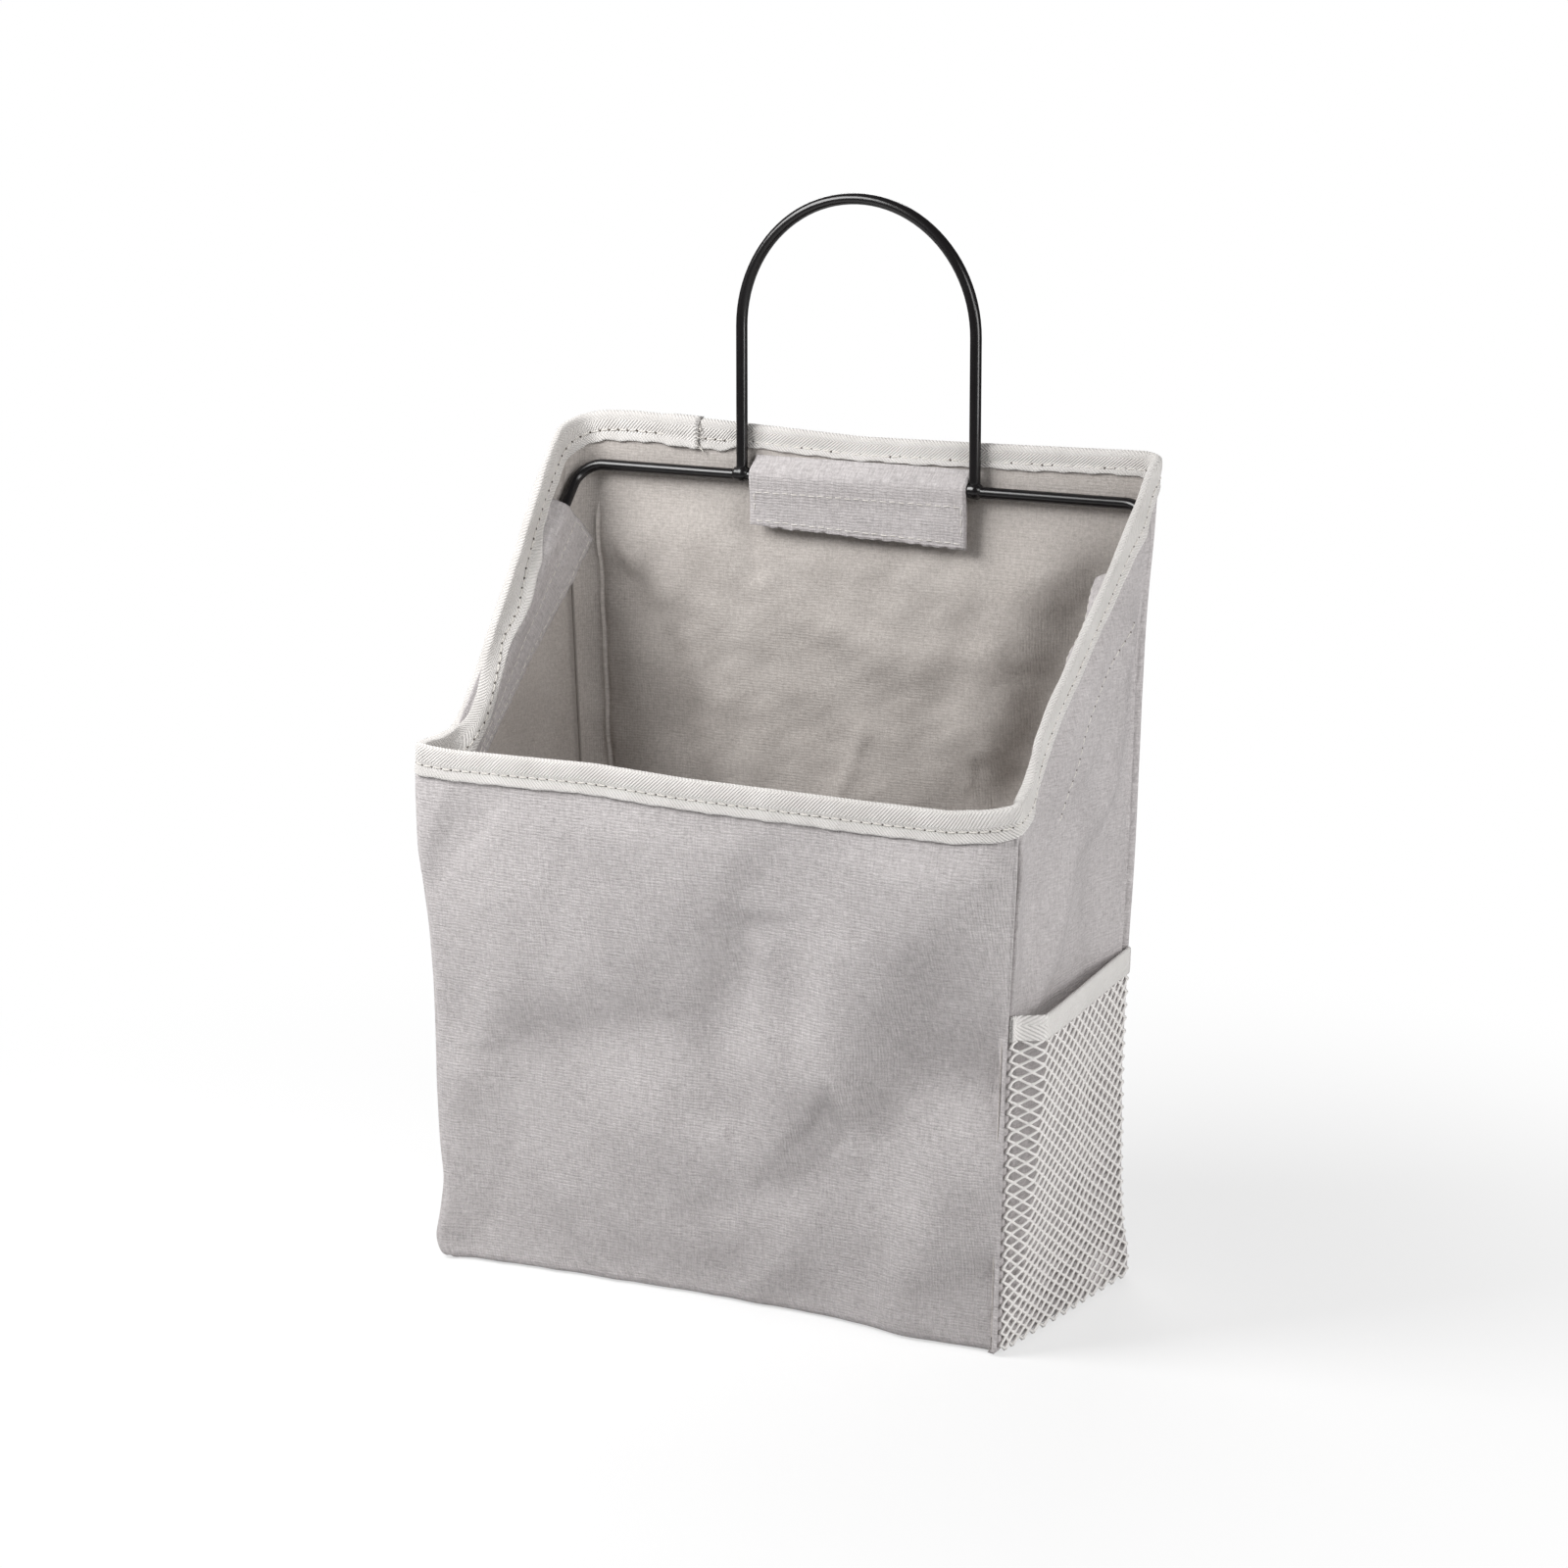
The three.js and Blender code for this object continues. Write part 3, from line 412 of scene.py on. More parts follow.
def back_folds(x, z):
    """The back hangs from the rod and is creased lightly across the middle. Plus is away from the inside."""
    out = 1.0 * ripple(x, z * 0.8, 70, 21) + 0.5 * ripple(x * 1.3, z, 26, 22) + 0.2 * ripple(x, z, 10, 23)
    out = out + mound(x, z, (-71, 154), (9, 10), 1.6)
    out = out + creases(x, z, [
        ([(-79, 196), (-66, 174), (-60, 152), (-56, 128)], 2.9, 6, 12),
        ([(3, 158), (-6, 137)], -1.0, 2.2, 3, True),
        ([(-50, 212), (-30, 196), (10, 176), (16, 148)], -1.6, 16, 18),
        ([(-41, 222), (-36, 206)], 1.5, 4, 5),
        ([(90, 226), (77, 198), (67, 176), (54, 142)], 4.4, 9, 11),
        ([(64, 216), (53, 188), (43, 158)], -2.4, 9, 12),
        ([(52, 182), (62, 179)], 0.9, 3, 3, True),
        ([(-8, 188), (20, 181), (48, 186)], -0.8, 5, 6),
    ])
    return (out - 1.4) * eased((229 - z) / 24)


def right_folds(y, z):
    """The right side is drawn in above the pocket, with a fold from the back of the rim to the front seam."""
    out = 0.7 * ripple(y, z * 0.7, 48, 31) + 0.3 * ripple(y, z, 17, 32)
    out = out + mound(y, z, (14, 122), (13, 26), -2.4) + mound(y, z, (-34, 122), (9, 32), -2.6)
    out = out + creases(y, z, [
        ([(24, 200), (24, 178), (20, 158), (12, 148), (-9, 141), (-12, 127), (-15, 117), (-30, 101)],
         2.6, 6, 7),
        ([(33, 206), (29, 200.5), (20, 187.4), (11, 176.8), (-1, 163.6)], 1.1, 2.2, 3.2, True),
        ([(33, 216), (31, 190), (32, 150)], -1.0, 5, 7),
    ])
    return out * eased((z + 4) / 30)


def left_folds(y, z):
    out = 0.8 * ripple(y, z * 0.7, 50, 41) + 0.3 * ripple(y, z, 18, 42)
    out = out + fold(y, z, [(26, 204), (20, 160), (-6, 132), (-22, 100)], 1.8, 9, 9)
    out = out + mound(y, z, (12, 118), (14, 28), -2.2)
    return out * eased((z + 4) / 30)


def moved(way, up, place, seams):
    """How far the cloth stands out from its outline: folds, the turned-in lower edge and the seams."""
    way = np.mod(way, AROUND)
    x, y = place[..., 0], place[..., 1]
    out = 0
    for start, end, folded in (
            (0, FRONT_RUN, front_folds(x, up)), (BACK_START, LEFT_START, back_folds(x, up)),
            (RIGHT_START, BACK_START, right_folds(y, up)), (LEFT_START, AROUND, left_folds(y, up))):
        out = out + window(way, start, SEAM_CALM, end, SEAM_CALM) * folded
    out = out * (RIM_KEEPS + (1 - RIM_KEEPS) * eased((rim(way) - RIM_CALM - up) / RIM_FADE))
    under = np.clip(1 - up / WELT, 0, 1)
    out = out - 0.9 * WELT * (1 - np.sqrt(1 - under * under))
    if seams:
        free = clear_of_tape(way, up) * (1 - np.exp(-((up - wire_height(y)) / 6) ** 4))
        for seam, side in SEAMS.items():
            gap = way - seam
            out = out - SEAM_GROOVE * free * np.exp(-((gap + SEAM_SHIFT * side) / SEAM_WIDTH) ** 2)
            into = np.where(gap * side > 0, np.abs(gap), 1e9)
            out = out - SIDE_STEP * free * np.exp(-into / STEP_FADE)
            out = out + SEAM_SWELL * np.exp(-(np.abs(gap) - SWELL_PLACE) ** 2)
    return out


def facing(shape, way, up, step=0.3):
    """The direction square to a surface, which shape gives as points over the map, out of the bag."""
    return unit(np.cross(shape(way + step, up) - shape(way - step, up),
                         shape(way, up + step) - shape(way, up - step)))


def face(way, up, seams=False):
    """Points on the outer face of the walls, and which way is out there."""
    way, up = np.broadcast_arrays(np.asarray(way, float), np.asarray(up, float))
    out = facing(outline, way, up)

    def folded(a, b):
        here = outline(a, b)
        return here + out * moved(a, b, here, seams)[..., None]

    return folded(way, up), facing(folded, way, up)


def mesh_object(name, points, faces, materials, picks=None, cloth=None, smooth=True):
    """A mesh from points in mm. cloth holds each point's place on the flat cloth, for the weave, and as a
    third number how much of a second tone it takes: painted seam shadow on the canvas, a lighter tone on the
    tape."""
    mesh = bpy.data.meshes.new(name)
    mesh.from_pydata((np.asarray(points).reshape(-1, 3) * MM).tolist(), [], faces)
    for one in materials:
        mesh.materials.append(one)
    if picks is not None:
        mesh.polygons.foreach_set("material_index", picks)
    mesh.polygons.foreach_set("use_smooth", [smooth] * len(mesh.polygons))
    if cloth is not None:
        flat = np.zeros((len(mesh.vertices), 3), np.float32)
        flat[:, :cloth.shape[-1]] = cloth.reshape(-1, cloth.shape[-1])
        mesh.attributes.new("cloth", "FLOAT_VECTOR", "POINT").data.foreach_set("vector", flat.ravel())
    made = bpy.data.objects.new(name, mesh)
    scene.collection.objects.link(made)
    return made


def grid_faces(rows, columns, start=0, closed=False, turned=False):
    """The quads of a grid of points, row by row. closed joins its last column to its first."""
    r, c = np.meshgrid(np.arange(rows - 1), np.arange(columns if closed else columns - 1), indexing="ij")
    right = (c + 1) % columns
    quads = np.stack([r * columns + c, r * columns + right, (r + 1) * columns + right, (r + 1) * columns + c],
                     -1).reshape(-1, 4) + start
    return (quads[:, ::-1] if turned else quads).tolist()


def two_faced(name, outer, inner, flat, materials):
    """A closed sheet of cloth between two grids of points, with a turned edge all round."""
    rows, columns = outer.shape[:2]
    count = rows * columns
    faces = grid_faces(rows, columns)
    back = grid_faces(rows, columns, count, turned=True)
    place = np.arange(count).reshape(rows, columns)
    edge = np.concatenate([place[0], place[1:, -1], place[-1, -2::-1], place[-2:0:-1, 0]])
    ahead = np.roll(edge, -1)
    rim_faces = np.stack([edge, edge + count, ahead + count, ahead], -1).tolist()
    picks = [0] * len(faces) + [len(materials) - 1] * (len(back) + len(rim_faces))
    points = np.concatenate([outer.reshape(-1, 3), inner.reshape(-1, 3)])
    return mesh_object(name, points, faces + back + rim_faces, materials, picks,
                       np.concatenate([flat.reshape(-1, flat.shape[-1])] * 2))


def blended(tree, level, patterns):
    """Patterns added by their weights. The sum is at level where each pattern is at its own middle."""
    total = level - sum(weight * middle for _, weight, middle in patterns)
    for pattern, weight, _ in patterns:
        total = add(tree, "Math", {0: pattern, 1: weight, 2: total}, operation="MULTIPLY_ADD")
    return total


def finished(tree, height, relief, depth, look):
    """The shader of a material, with a relief of its surface of about depth metres."""
    raised = add(tree, "Bump", {"Height": height, "Strength": relief, "Distance": depth})
    shader = add(tree, "BsdfPrincipled", {**look, "Normal": raised})
    add(tree, "OutputMaterial", {"Surface": shader})


def woven(name, dark, light, relief, slub, sheen, painted_seam_shadow):
    """Plain weave: warp up and weft across, each thread over and under in turn. Thicker stretches of
    thread, the slubs, show as short light and dark strokes. The real pitch of 0.5 mm is too fine to
    show, so it is drawn at 0.9 mm."""
    made, tree = new_material(name)
    cloth = add(tree, "Attribute", attribute_name="cloth").outputs["Vector"]
    wander = add(tree, "TexNoise", {"Vector": cloth, "Scale": 0.35, "Detail": 1.0}).outputs["Color"]
    shift = add(tree, "VectorMath", {0: wander, 1: (0.9, 0.9, 0)}, operation="MULTIPLY")
    strayed = add(tree, "VectorMath", {0: cloth, 1: shift}, operation="ADD")
    split = add(tree, "SeparateXYZ", {0: strayed})
    crests, heights = [], []
    for axis in (0, 1):
        phase = add(tree, "Math", {0: split.outputs[axis], 1: math.pi / THREAD_PITCH}, operation="MULTIPLY")
        crests.append(add(tree, "Math", {0: phase}, operation="COSINE"))
        heights.append(add(tree, "Math", {0: crests[-1]}, operation="ABSOLUTE"))
    crossing = add(tree, "Math", {0: crests[0], 1: crests[1]}, operation="MULTIPLY")
    over = add(tree, "Math", {0: crossing, 1: 0.5, 2: 0.5}, operation="MULTIPLY_ADD")
    under = add(tree, "Math", {0: 1.0, 1: over}, operation="SUBTRACT")
    warp = add(tree, "Math", {0: heights[0], 1: over}, operation="MULTIPLY")
    threads = add(tree, "Math", {0: heights[1], 1: under, 2: warp}, operation="MULTIPLY_ADD")
    # Slubs of the warp and of the weft, flecks of dyed fibre, specks, and clouds of uneven dye.
    patterns = []
    for scale, detail, roughness in (
            ((1 / SLUB_WIDTH, 1 / SLUB_LENGTH, 1), 2.0, 0.5),
            ((1 / SLUB_LENGTH, 1 / SLUB_WIDTH, 1), 2.0, 0.5),
            ((0.8, 0.8, 1), 3.0, 0.65), ((2.6, 2.6, 1), 1.0, 0.5), ((1 / 28, 1 / 28, 1), 3.0, 0.5)):
        spread = add(tree, "VectorMath", {0: cloth, 1: scale}, operation="MULTIPLY")
        patterns.append(add(tree, "TexNoise", {"Vector": spread, "Scale": 1.0, "Detail": detail,
                                               "Roughness": roughness}))
    upright, level = patterns[:2]
    weights = (slub, slub, 1.2, 0.9, 0.6)
    tone = blended(tree, 0.5, [(threads, 0.08, 0.6)] + [(one, w, 0.5) for one, w in zip(patterns, weights)])
    paint = add(tree, "Mix", {0: tone, 6: linear(dark), 7: linear(light)}, data_type="RGBA",
                clamp_factor=True)
    # Painted shade in the seams: the cloth's third number mixes the painted seam shadow colour into the
    # paint.
    seam = add(tree, "SeparateXYZ", {0: cloth}).outputs[2]
    paint = add(tree, "Mix", {0: seam, 6: paint.outputs[2], 7: linear(painted_seam_shadow)}, data_type="RGBA",
                clamp_factor=True)
    height = blended(tree, 0.0, [(threads, 0.5, 0), (upright, 0.45, 0), (level, 0.45, 0)])
    finished(tree, height, relief, 0.0004, {
        "Base Color": paint.outputs[2], "Roughness": 0.92, "Specular IOR Level": 0.2, "Sheen Weight": sheen,
        "Sheen Roughness": 0.5})
    return made


# Dyed canvas is a cool grey with visible threads. The coating on its wrong side fills the weave, so the
# inside looks smoother and warmer. Shade is painted into the seams: a deep painted shadow outside, and inside
# only the lining's own dark tone.
canvas = woven("plain_woven_cotton_canvas", CANVAS_DARK, CANVAS_LIGHT, 0.75, 0.85, 0.12, SEAM_PAINTED_SHADOW)
lining = woven("coated_wrong_side_of_canvas", LINING_DARK, LINING_LIGHT, 0.4, 0.45, 0.05, LINING_DARK)


def spaced(start, end, edge, step):
    """Places from start to end, edge mm apart beside both ends and step mm apart between."""
    fine = np.arange(0, 5, edge)
    return np.concatenate([start + fine, np.arange(start + 5, end - 5, step), end - fine[::-1]])


def wall(name, start, end, node):
    """One wall between two seams of the map. The back has its seam allowances turned in on its inside."""
    ways = spaced(start, end, 0.4, 1.5)
    if node == "back_panel":
        brink = ALLOWANCE + np.array([-0.9, -0.6, -0.3, -0.1, 0.1, 0.4, 0.8])
        ways = np.sort(np.concatenate([ways, start + brink, end - brink]))
    heights = np.concatenate([np.linspace(0, 0.03, 9)[:-1], np.linspace(0.03, 1, 130)])[:, None]
    ups = WALL_FOOT + heights * (rim(ways)[None, :] - WALL_HEAD - WALL_FOOT)
    ways = np.broadcast_to(ways, ups.shape)
    outer, _ = face(ways, ups, seams=True)
    middle, out = face(ways, ups)
    groove = np.minimum(np.sum((outer - middle) * out, -1), 0)[..., None]
    inner = middle + out * (0.72 * groove - CANVAS)
    inward = np.minimum(ways - start, end - ways)
    if node == "back_panel":
        double = 0.8 * (inward < ALLOWANCE) + 0.3 * np.exp(-((inward - ALLOWANCE + 0.6) / 0.5) ** 2)
        double = double - 0.45 * np.exp(-((inward - ALLOWANCE - 0.5) / 0.4) ** 2)
        shown = eased((222 - ups) / 4) * clear_of_tape(ways, ups) * eased((ups - 2) / 3)
        inner = inner - out * (double * shown)[..., None]
    inner[..., 2] = np.maximum(inner[..., 2], CANVAS + 0.1)
    lengths = np.linalg.norm(np.diff(middle, axis=1), axis=-1)
    along = np.concatenate([0 * ups[:, :1], np.cumsum(lengths, axis=1)], axis=1)
    along += start - along[:, along.shape[1] // 2][:, None]
    # Shade is painted along the seams above the pockets' tops, widest on the side walls and fainter below.
    reach = 1.3 if end - start < 100 else 0.5
    painted_seam_shade = 0.85 * np.exp(-(inward / reach) ** 2) * clear_of_tape(ways, ups)
    painted_seam_shade = painted_seam_shade * (0.25 + 0.75 * eased((ups - 92) / 8))
    made = two_faced(name, outer, inner, np.stack([along, ups, painted_seam_shade], -1), [canvas, lining])
    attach(made, "bag")
    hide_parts(node)
    return made


front_canvas = wall("front_canvas", 0, FRONT_RUN, "front_panel")
right_canvas = wall("right_canvas", RIGHT_START, BACK_START, "right_side_panel")
back_canvas = wall("back_canvas", BACK_START, LEFT_START, "back_panel")
left_canvas = wall("left_canvas", LEFT_START, AROUND, "left_side_panel")

# The base is a rectangle of the same canvas, sewn in all round. It lies on the floor with a few soft waves.
# Its edges follow the foot of the walls, and the rest is stretched between them.
BASE_WIDE, BASE_DEEP, BASE_IN = 96, 50, 4.0
front_edge, right_edge, back_edge, left_edge = [
    face(np.linspace(start, end, count), np.full(count, 0.9))[0] for start, end, count in (
        (BASE_IN, FRONT_RUN - BASE_IN, BASE_WIDE), (FRONT_RUN - BASE_IN, BACK_START + 6, BASE_DEEP),
        (LEFT_START - 6, BACK_START + 6, BASE_WIDE), (AROUND + BASE_IN, LEFT_START - 6, BASE_DEEP))]
u, v = np.meshgrid(np.linspace(0, 1, BASE_WIDE), np.linspace(0, 1, BASE_DEEP))
calm = np.clip(1 - np.abs(2 * u - 1) ** 6, 0, 1) * np.clip(1 - np.abs(2 * v - 1) ** 6, 0, 1)
u, v = u[..., None], v[..., None]
patch = ((1 - v) * front_edge[None] + v * back_edge[None]
         + (1 - u) * left_edge[:, None] + u * right_edge[:, None]
         - (1 - u) * (1 - v) * front_edge[0] - u * (1 - v) * front_edge[-1]
         - (1 - u) * v * back_edge[0] - u * v * back_edge[-1])
patch *= (0.985, 0.97, 1)
waves = 0.5 + 0.5 * ripple(patch[..., 0], patch[..., 1], 44, 51)
under = patch.copy()
under[..., 2] = 0.12 + 0.9 * np.clip(waves, 0, 2) * calm
over = under + (0, 0, CANVAS)
bottom_canvas = two_faced("bottom_canvas", over, under, over[..., :2], [lining, canvas])
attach(bottom_canvas, "bag")
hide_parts("bottom_panel")


# Rim binding: one off-white herringbone tape folded over the raw edges of all four walls and sewn through
# once. It starts and ends on the back, where the cut end lies over the start and has begun to fray.
# Along the slopes its inner half rides up over the flaps and the wire below them.
TAPE = 8.9
LAP_START, LAP = 447.0, 9.0
HERRINGBONE, TWILL = 4.6, 1.15
TAPE_DARK, TAPE_LIGHT = "#C6C2BE", "#EAE7E4"
WIRE = 1.75
HOOP_X, HOOP_TOP, ROD_Z, FRONT_ROD_Z, ROD_Y = 40.0, 318.5, 234.5, 138.5, 43.75
INNER_Y = 46.7
ARM_X, ARM_LEAN = 90.75, 0.03
WIRE_STANDS = 2.95
SIDE_BACK, RIGHT_FRONT, LEFT_FRONT = 36.5, -44.3, -43.9
STITCH_DEPTH = 5.6

# Across a flap's cloth: mm below the wire's middle line, and mm the middle of the cloth stands off the wall.
over_wire = drawn([(-20, 0.5), (-6.4, 0.6), (-5.4, 0.9), (-4.6, 1.6), (-3.6, 3.0), (-2.6, 4.4), (-1.5, 5.25),
                   (0, 5.5), (1.5, 5.25), (2.7, 4.6), (3.9, 3.9), (5.4, 3.45), (8, 3.2), (13, 3.15),
                   (30, 3.15)], 0.45)


def side_way(sign, y):
    """Way round the bag of the place y on a side wall, from the ends of its straight stretch."""
    if sign > 0:
        return RIGHT_START + (y - RIGHT_FRONT) / (SIDE_BACK - RIGHT_FRONT) * SIDE_RUN
    return LEFT_START + (SIDE_BACK - y) / (SIDE_BACK - LEFT_FRONT) * SIDE_RUN


def arm_frame(sign):
    """Start of the ring's middle line on one side, and the directions along it, down from it and inward."""
    start = np.array([sign * (ARM_X + ARM_LEAN * FRONT_ROD_Z), -ROD_Y, FRONT_ROD_Z])
    end = np.array([sign * (ARM_X + ARM_LEAN * ROD_Z), ROD_Y, ROD_Z])
    along = unit(end - start)
    inward = unit(np.array([-sign, 0, ARM_LEAN]))
    down = np.cross(along, inward) * sign
    return start, along, down if down[2] < 0 else -down, inward


def tape_point(way, n, s):
    """A point of the tape's section: n mm out from the walls' outer face and s mm below the rim line."""
    way, n, s = np.broadcast_arrays(way, n, s)
    at = np.mod(way, AROUND)
    climb = (rim(at + 5) - rim(at - 5)) / 10
    steep = np.hypot(1, climb)
    here, out = face(at + s * climb / steep, rim(at) - s / steep)
    return here + out * n[..., None]


def lifted(way, n, s):
    """The inner half of the tape, pushed inward where a flap and the wire lie below it."""
    place = tape_point(way, n, s)
    for sign in (-1, 1):
        start, along, down, inward = arm_frame(sign)
        offset = place - start
        run, drop, off = offset @ along, offset @ down, offset @ inward + WIRE_STANDS
        wanted = over_wire(np.clip(drop, -19, 29)) + 0.55 + (-0.8 - n) * 0.8
        on = window(run, 9, 14, 121, 9) * (sign * place[..., 0] > SIDE_X) * (n < -0.8)
        place = place + inward * (np.maximum(wanted - off, 0) * on)[..., None]
    return place


def tube(path, radius, across, sides=12, closed=False):
    """A round rod along a path, as points and faces. across is a direction the path never takes."""
    path = np.asarray(path, float)
    ahead = np.roll(path, -1, 0) - np.roll(path, 1, 0) if closed else np.gradient(path, axis=0)
    side = unit(np.cross(ahead, across))
    over = unit(np.cross(side, ahead))
    turn = np.linspace(0, 2 * np.pi, sides, endpoint=False)[None, :, None]
    reach = np.broadcast_to(radius, (len(path),))[:, None, None]
    rings = path[:, None] + reach * (np.cos(turn) * side[:, None] + np.sin(turn) * over[:, None])
    return swept(rings, closed)


def swept(rings, closed=False):
    """The faces through rings of points, capped at both ends unless the last ring joins the first."""
    count, sides = rings.shape[:2]
    faces = grid_faces(count, sides, closed=True)
    if closed:
        last = (count - 1) * sides
        faces += [[last + k, last + (k + 1) % sides, (k + 1) % sides, k] for k in range(sides)]
    else:
        faces += [list(range(sides))[::-1], [(count - 1) * sides + k for k in range(sides)]]
    return rings.reshape(-1, 3), faces


def joined(parts):
    """Several pieces of mesh as one."""
    faces, start = [], 0
    for points, own in parts:
        faces += [[k + start for k in one] for one in own]
        start += len(points)
    return np.concatenate([points for points, _ in parts]), faces


def point_at(at, reach, line):
    """The place on a line, or the direction beside it, where it has reached that far."""
    return np.stack([np.interp(at, reach, line[:, k]) for k in range(3)], -1)


def stitches(line, out, length=2.5, gap=0.9, thread=0.2):
    """A row of short stitches on a surface: each dips into the cloth at both of its ends."""
    reach = reached(line)
    parts = []
    for start in np.arange(0.4, reach[-1] - length, length + gap):
        path = point_at(start + length * np.array([0, 0.12, 0.5, 0.88, 1]), reach, line)
        up = unit(point_at(start + length / 2, reach, out))
        path += up * (np.array([-1.6, 0.1, 0.6, 0.1, -1.6]) * thread)[:, None]
        parts.append(tube(path, thread, up, 6))
    return joined(parts)


def needle_holes(line, out, pitch=3.4, start=3.35, size=0.25):
    """Small dark discs of painted shadow where the needle went through, in the gaps between the stitches."""
    reach = reached(line)
    parts = []
    for at in np.arange(start, reach[-1] - 1, pitch):
        place, up = point_at(at, reach, line), unit(point_at(at, reach, out))
        parts.append(tube([place - up * 0.2, place + up * 0.1], size, (0.31, 0.52, 0.79), 8))
    return joined(parts)


def twill(name, dark, light):
    """Herringbone twill: slanting ribs that turn back every few millimetres across the tape. The real
    ribs of 0.6 mm are drawn about twice as wide."""
    made, tree = new_material(name)
    cloth = add(tree, "Attribute", attribute_name="cloth").outputs["Vector"]
    split = add(tree, "SeparateXYZ", {0: cloth})
    zigzag = add(tree, "Math", {0: split.outputs[1], 1: HERRINGBONE}, operation="PINGPONG")
    slant = add(tree, "Math", {0: split.outputs[0], 1: zigzag}, operation="ADD")
    phase = add(tree, "Math", {0: slant, 1: 2 * math.pi / TWILL}, operation="MULTIPLY")
    rib = add(tree, "Math", {0: phase}, operation="COSINE")
    patches = add(tree, "TexNoise", {"Vector": cloth, "Scale": 0.09, "Detail": 3.0})
    fuzz = add(tree, "TexNoise", {"Vector": cloth, "Scale": 2.2, "Detail": 2.0})
    tone = blended(tree, 0.55, [(rib, 0.2, 0), (patches, 0.9, 0.5), (fuzz, 0.5, 0.5),
                                (split.outputs[2], 0.5, 0)])
    paint = add(tree, "Mix", {0: tone, 6: linear(dark), 7: linear(light)}, data_type="RGBA",
                clamp_factor=True)
    height = blended(tree, 0.0, [(rib, 1.0, 0), (fuzz, 1.2, 0)])
    finished(tree, height, 0.5, 0.0003, {
        "Base Color": paint.outputs[2], "Roughness": 0.9, "Specular IOR Level": 0.2, "Sheen Weight": 0.15,
        "Sheen Roughness": 0.5})
    return made


def plain(name, colour, roughness, specular=0.3):
    """An even material with only a slight unevenness of its surface."""
    made, tree = new_material(name)
    place = add(tree, "TexCoord").outputs["Object"]
    grain = add(tree, "TexNoise", {"Vector": place, "Scale": 900.0, "Detail": 2.0})
    finished(tree, grain, 0.15, 0.0003, {
        "Base Color": linear(colour), "Roughness": roughness, "Specular IOR Level": specular})
    return made


# Cotton tape left undyed is a warm off-white and matt, with its edges a little brighter. The thread is matt
# and off-white too, so that a stitch shows by its shade. A needle hole is only a shadow.
herringbone = twill("herringbone_cotton_tape", TAPE_DARK, TAPE_LIGHT)
thread = plain("spun_sewing_thread", "#DDD9D3", 0.8)
needle_hole_shadow = plain("shadow_in_needle_hole", "#665F59", 0.95, 0.1)

# The tape's section, as mm out from the wall and mm below the rim line: the outer leg, the fold over the
# edge, the inner leg, and the same way back along the inside of the fold.
OUTER_LEG = [(0.62, 8.9), (0.84, 8.7), (0.90, 8.1), (0.78, 7.6), (0.74, 6.3), (0.56, 5.6), (0.76, 5.0),
             (0.92, 4.0), (1.00, 2.8), (1.00, 1.7), (0.92, 0.7)]
FOLD_OVER = [(0.70, 0.0), (0.30, -0.35), (-0.4, -0.55), (-1.10, -0.35), (-1.50, 0.0)]
INSIDE = [(-0.92, 8.9), (-0.92, 5.0), (-0.92, 0.6), (-0.4, 0.2), (0.12, 0.6), (0.12, 5.0), (0.12, 8.9)]
section = np.array(OUTER_LEG + FOLD_OVER + [(-0.8 - n, s) for n, s in OUTER_LEG[::-1]] + INSIDE)
last = 2 * len(OUTER_LEG) + len(FOLD_OVER) - 1
selvage = np.zeros(len(section))
selvage[[0, 1, last - 1, last]] = 1
ways = np.arange(LAP_START, LAP_START + AROUND + LAP + 0.1, 1.25)
n, s = (np.broadcast_to(column, (len(ways), len(section))).copy() for column in section.T)
way = np.broadcast_to(ways[:, None], n.shape).copy()
# The edges wander, the tape narrows on the slopes and behind, and it puffs up between its stitches.
below = np.clip(s / TAPE, 0, 1)
loops = 2 * np.pi * ways / AROUND
wavy = 0.28 * np.sin(23 * loops) * np.sin(7 * loops + 1) + 0.22 * np.sin(61 * loops + 2)
wavy = wavy + 0.1 * np.sin(130 * loops)
s += below ** 3 * wavy[:, None] * np.where(n < -0.8, 0.9, 0.45)
at = np.mod(ways, AROUND)
slope = window(at, 207, 10, 276, 8) + window(at, 506, 8, 562, 10)
behind = window(at, 290, 8, 440, 8)
outer_short = 0.17 * slope
short = 0.2 * slope + 0.22 * behind + 0.32 * window(at, 536, 10, 572, 8)
s -= np.where(n < -0.8, s * short[:, None], s * outer_short[:, None])
puffy = 0.08 * np.sin(17 * loops + 1) * np.sin(41 * loops) + 0.04 * np.sin(90 * loops)
outer, inner = n > 0.3, n < -1.1
n += np.where(outer, puffy[:, None], 0) - np.where(inner, puffy[:, None], 0)
# The lapped end lies over the start of the tape, and its cut edge isn't quite straight.
on_top = 1 - eased((ways - LAP_START - LAP) / 5)[:, None]
n += on_top * np.where(n > -0.4, 0.8, -0.8)
s -= on_top * 0.6 * np.exp(-np.clip(s + 1, 0, 9) / 2)
way[0] += 0.5 * np.sin(2.3 * section[:, 1]) + 0.3 * np.sin(5.1 * section[:, 1] + 1)
rings = lifted(way, n, s)
flat = np.stack([np.broadcast_to(reached(rings[:, 4])[:, None], way.shape),
                 np.broadcast_to(reached(section), way.shape), np.broadcast_to(selvage, way.shape)], -1)
points, faces = swept(rings)
rim_tape = mesh_object("rim_tape", points, faces, [herringbone], cloth=flat)
line = np.arange(LAP_START + 2, LAP_START + AROUND + LAP - 2, 0.8)
sewn, pricked = [], []
for depth, inward, hole in ((0.62, 1, 0.26), (-1.42, -1, 0.38)):
    less = np.minimum(short, 0.5) - 0.12 * behind if inward < 0 else outer_short
    less = np.interp(np.mod(line, AROUND), np.sort(at), less[np.argsort(at)])
    low = (STITCH_DEPTH + 0.08 * np.sin(line)) * (1 - less)
    middle = lifted(line, depth + 0 * line, low)
    up = unit(lifted(line, depth + 0.5 * inward + 0 * line, low) - middle)
    sewn.append(stitches(middle, up))
    pricked.append(needle_holes(middle, up, size=hole))
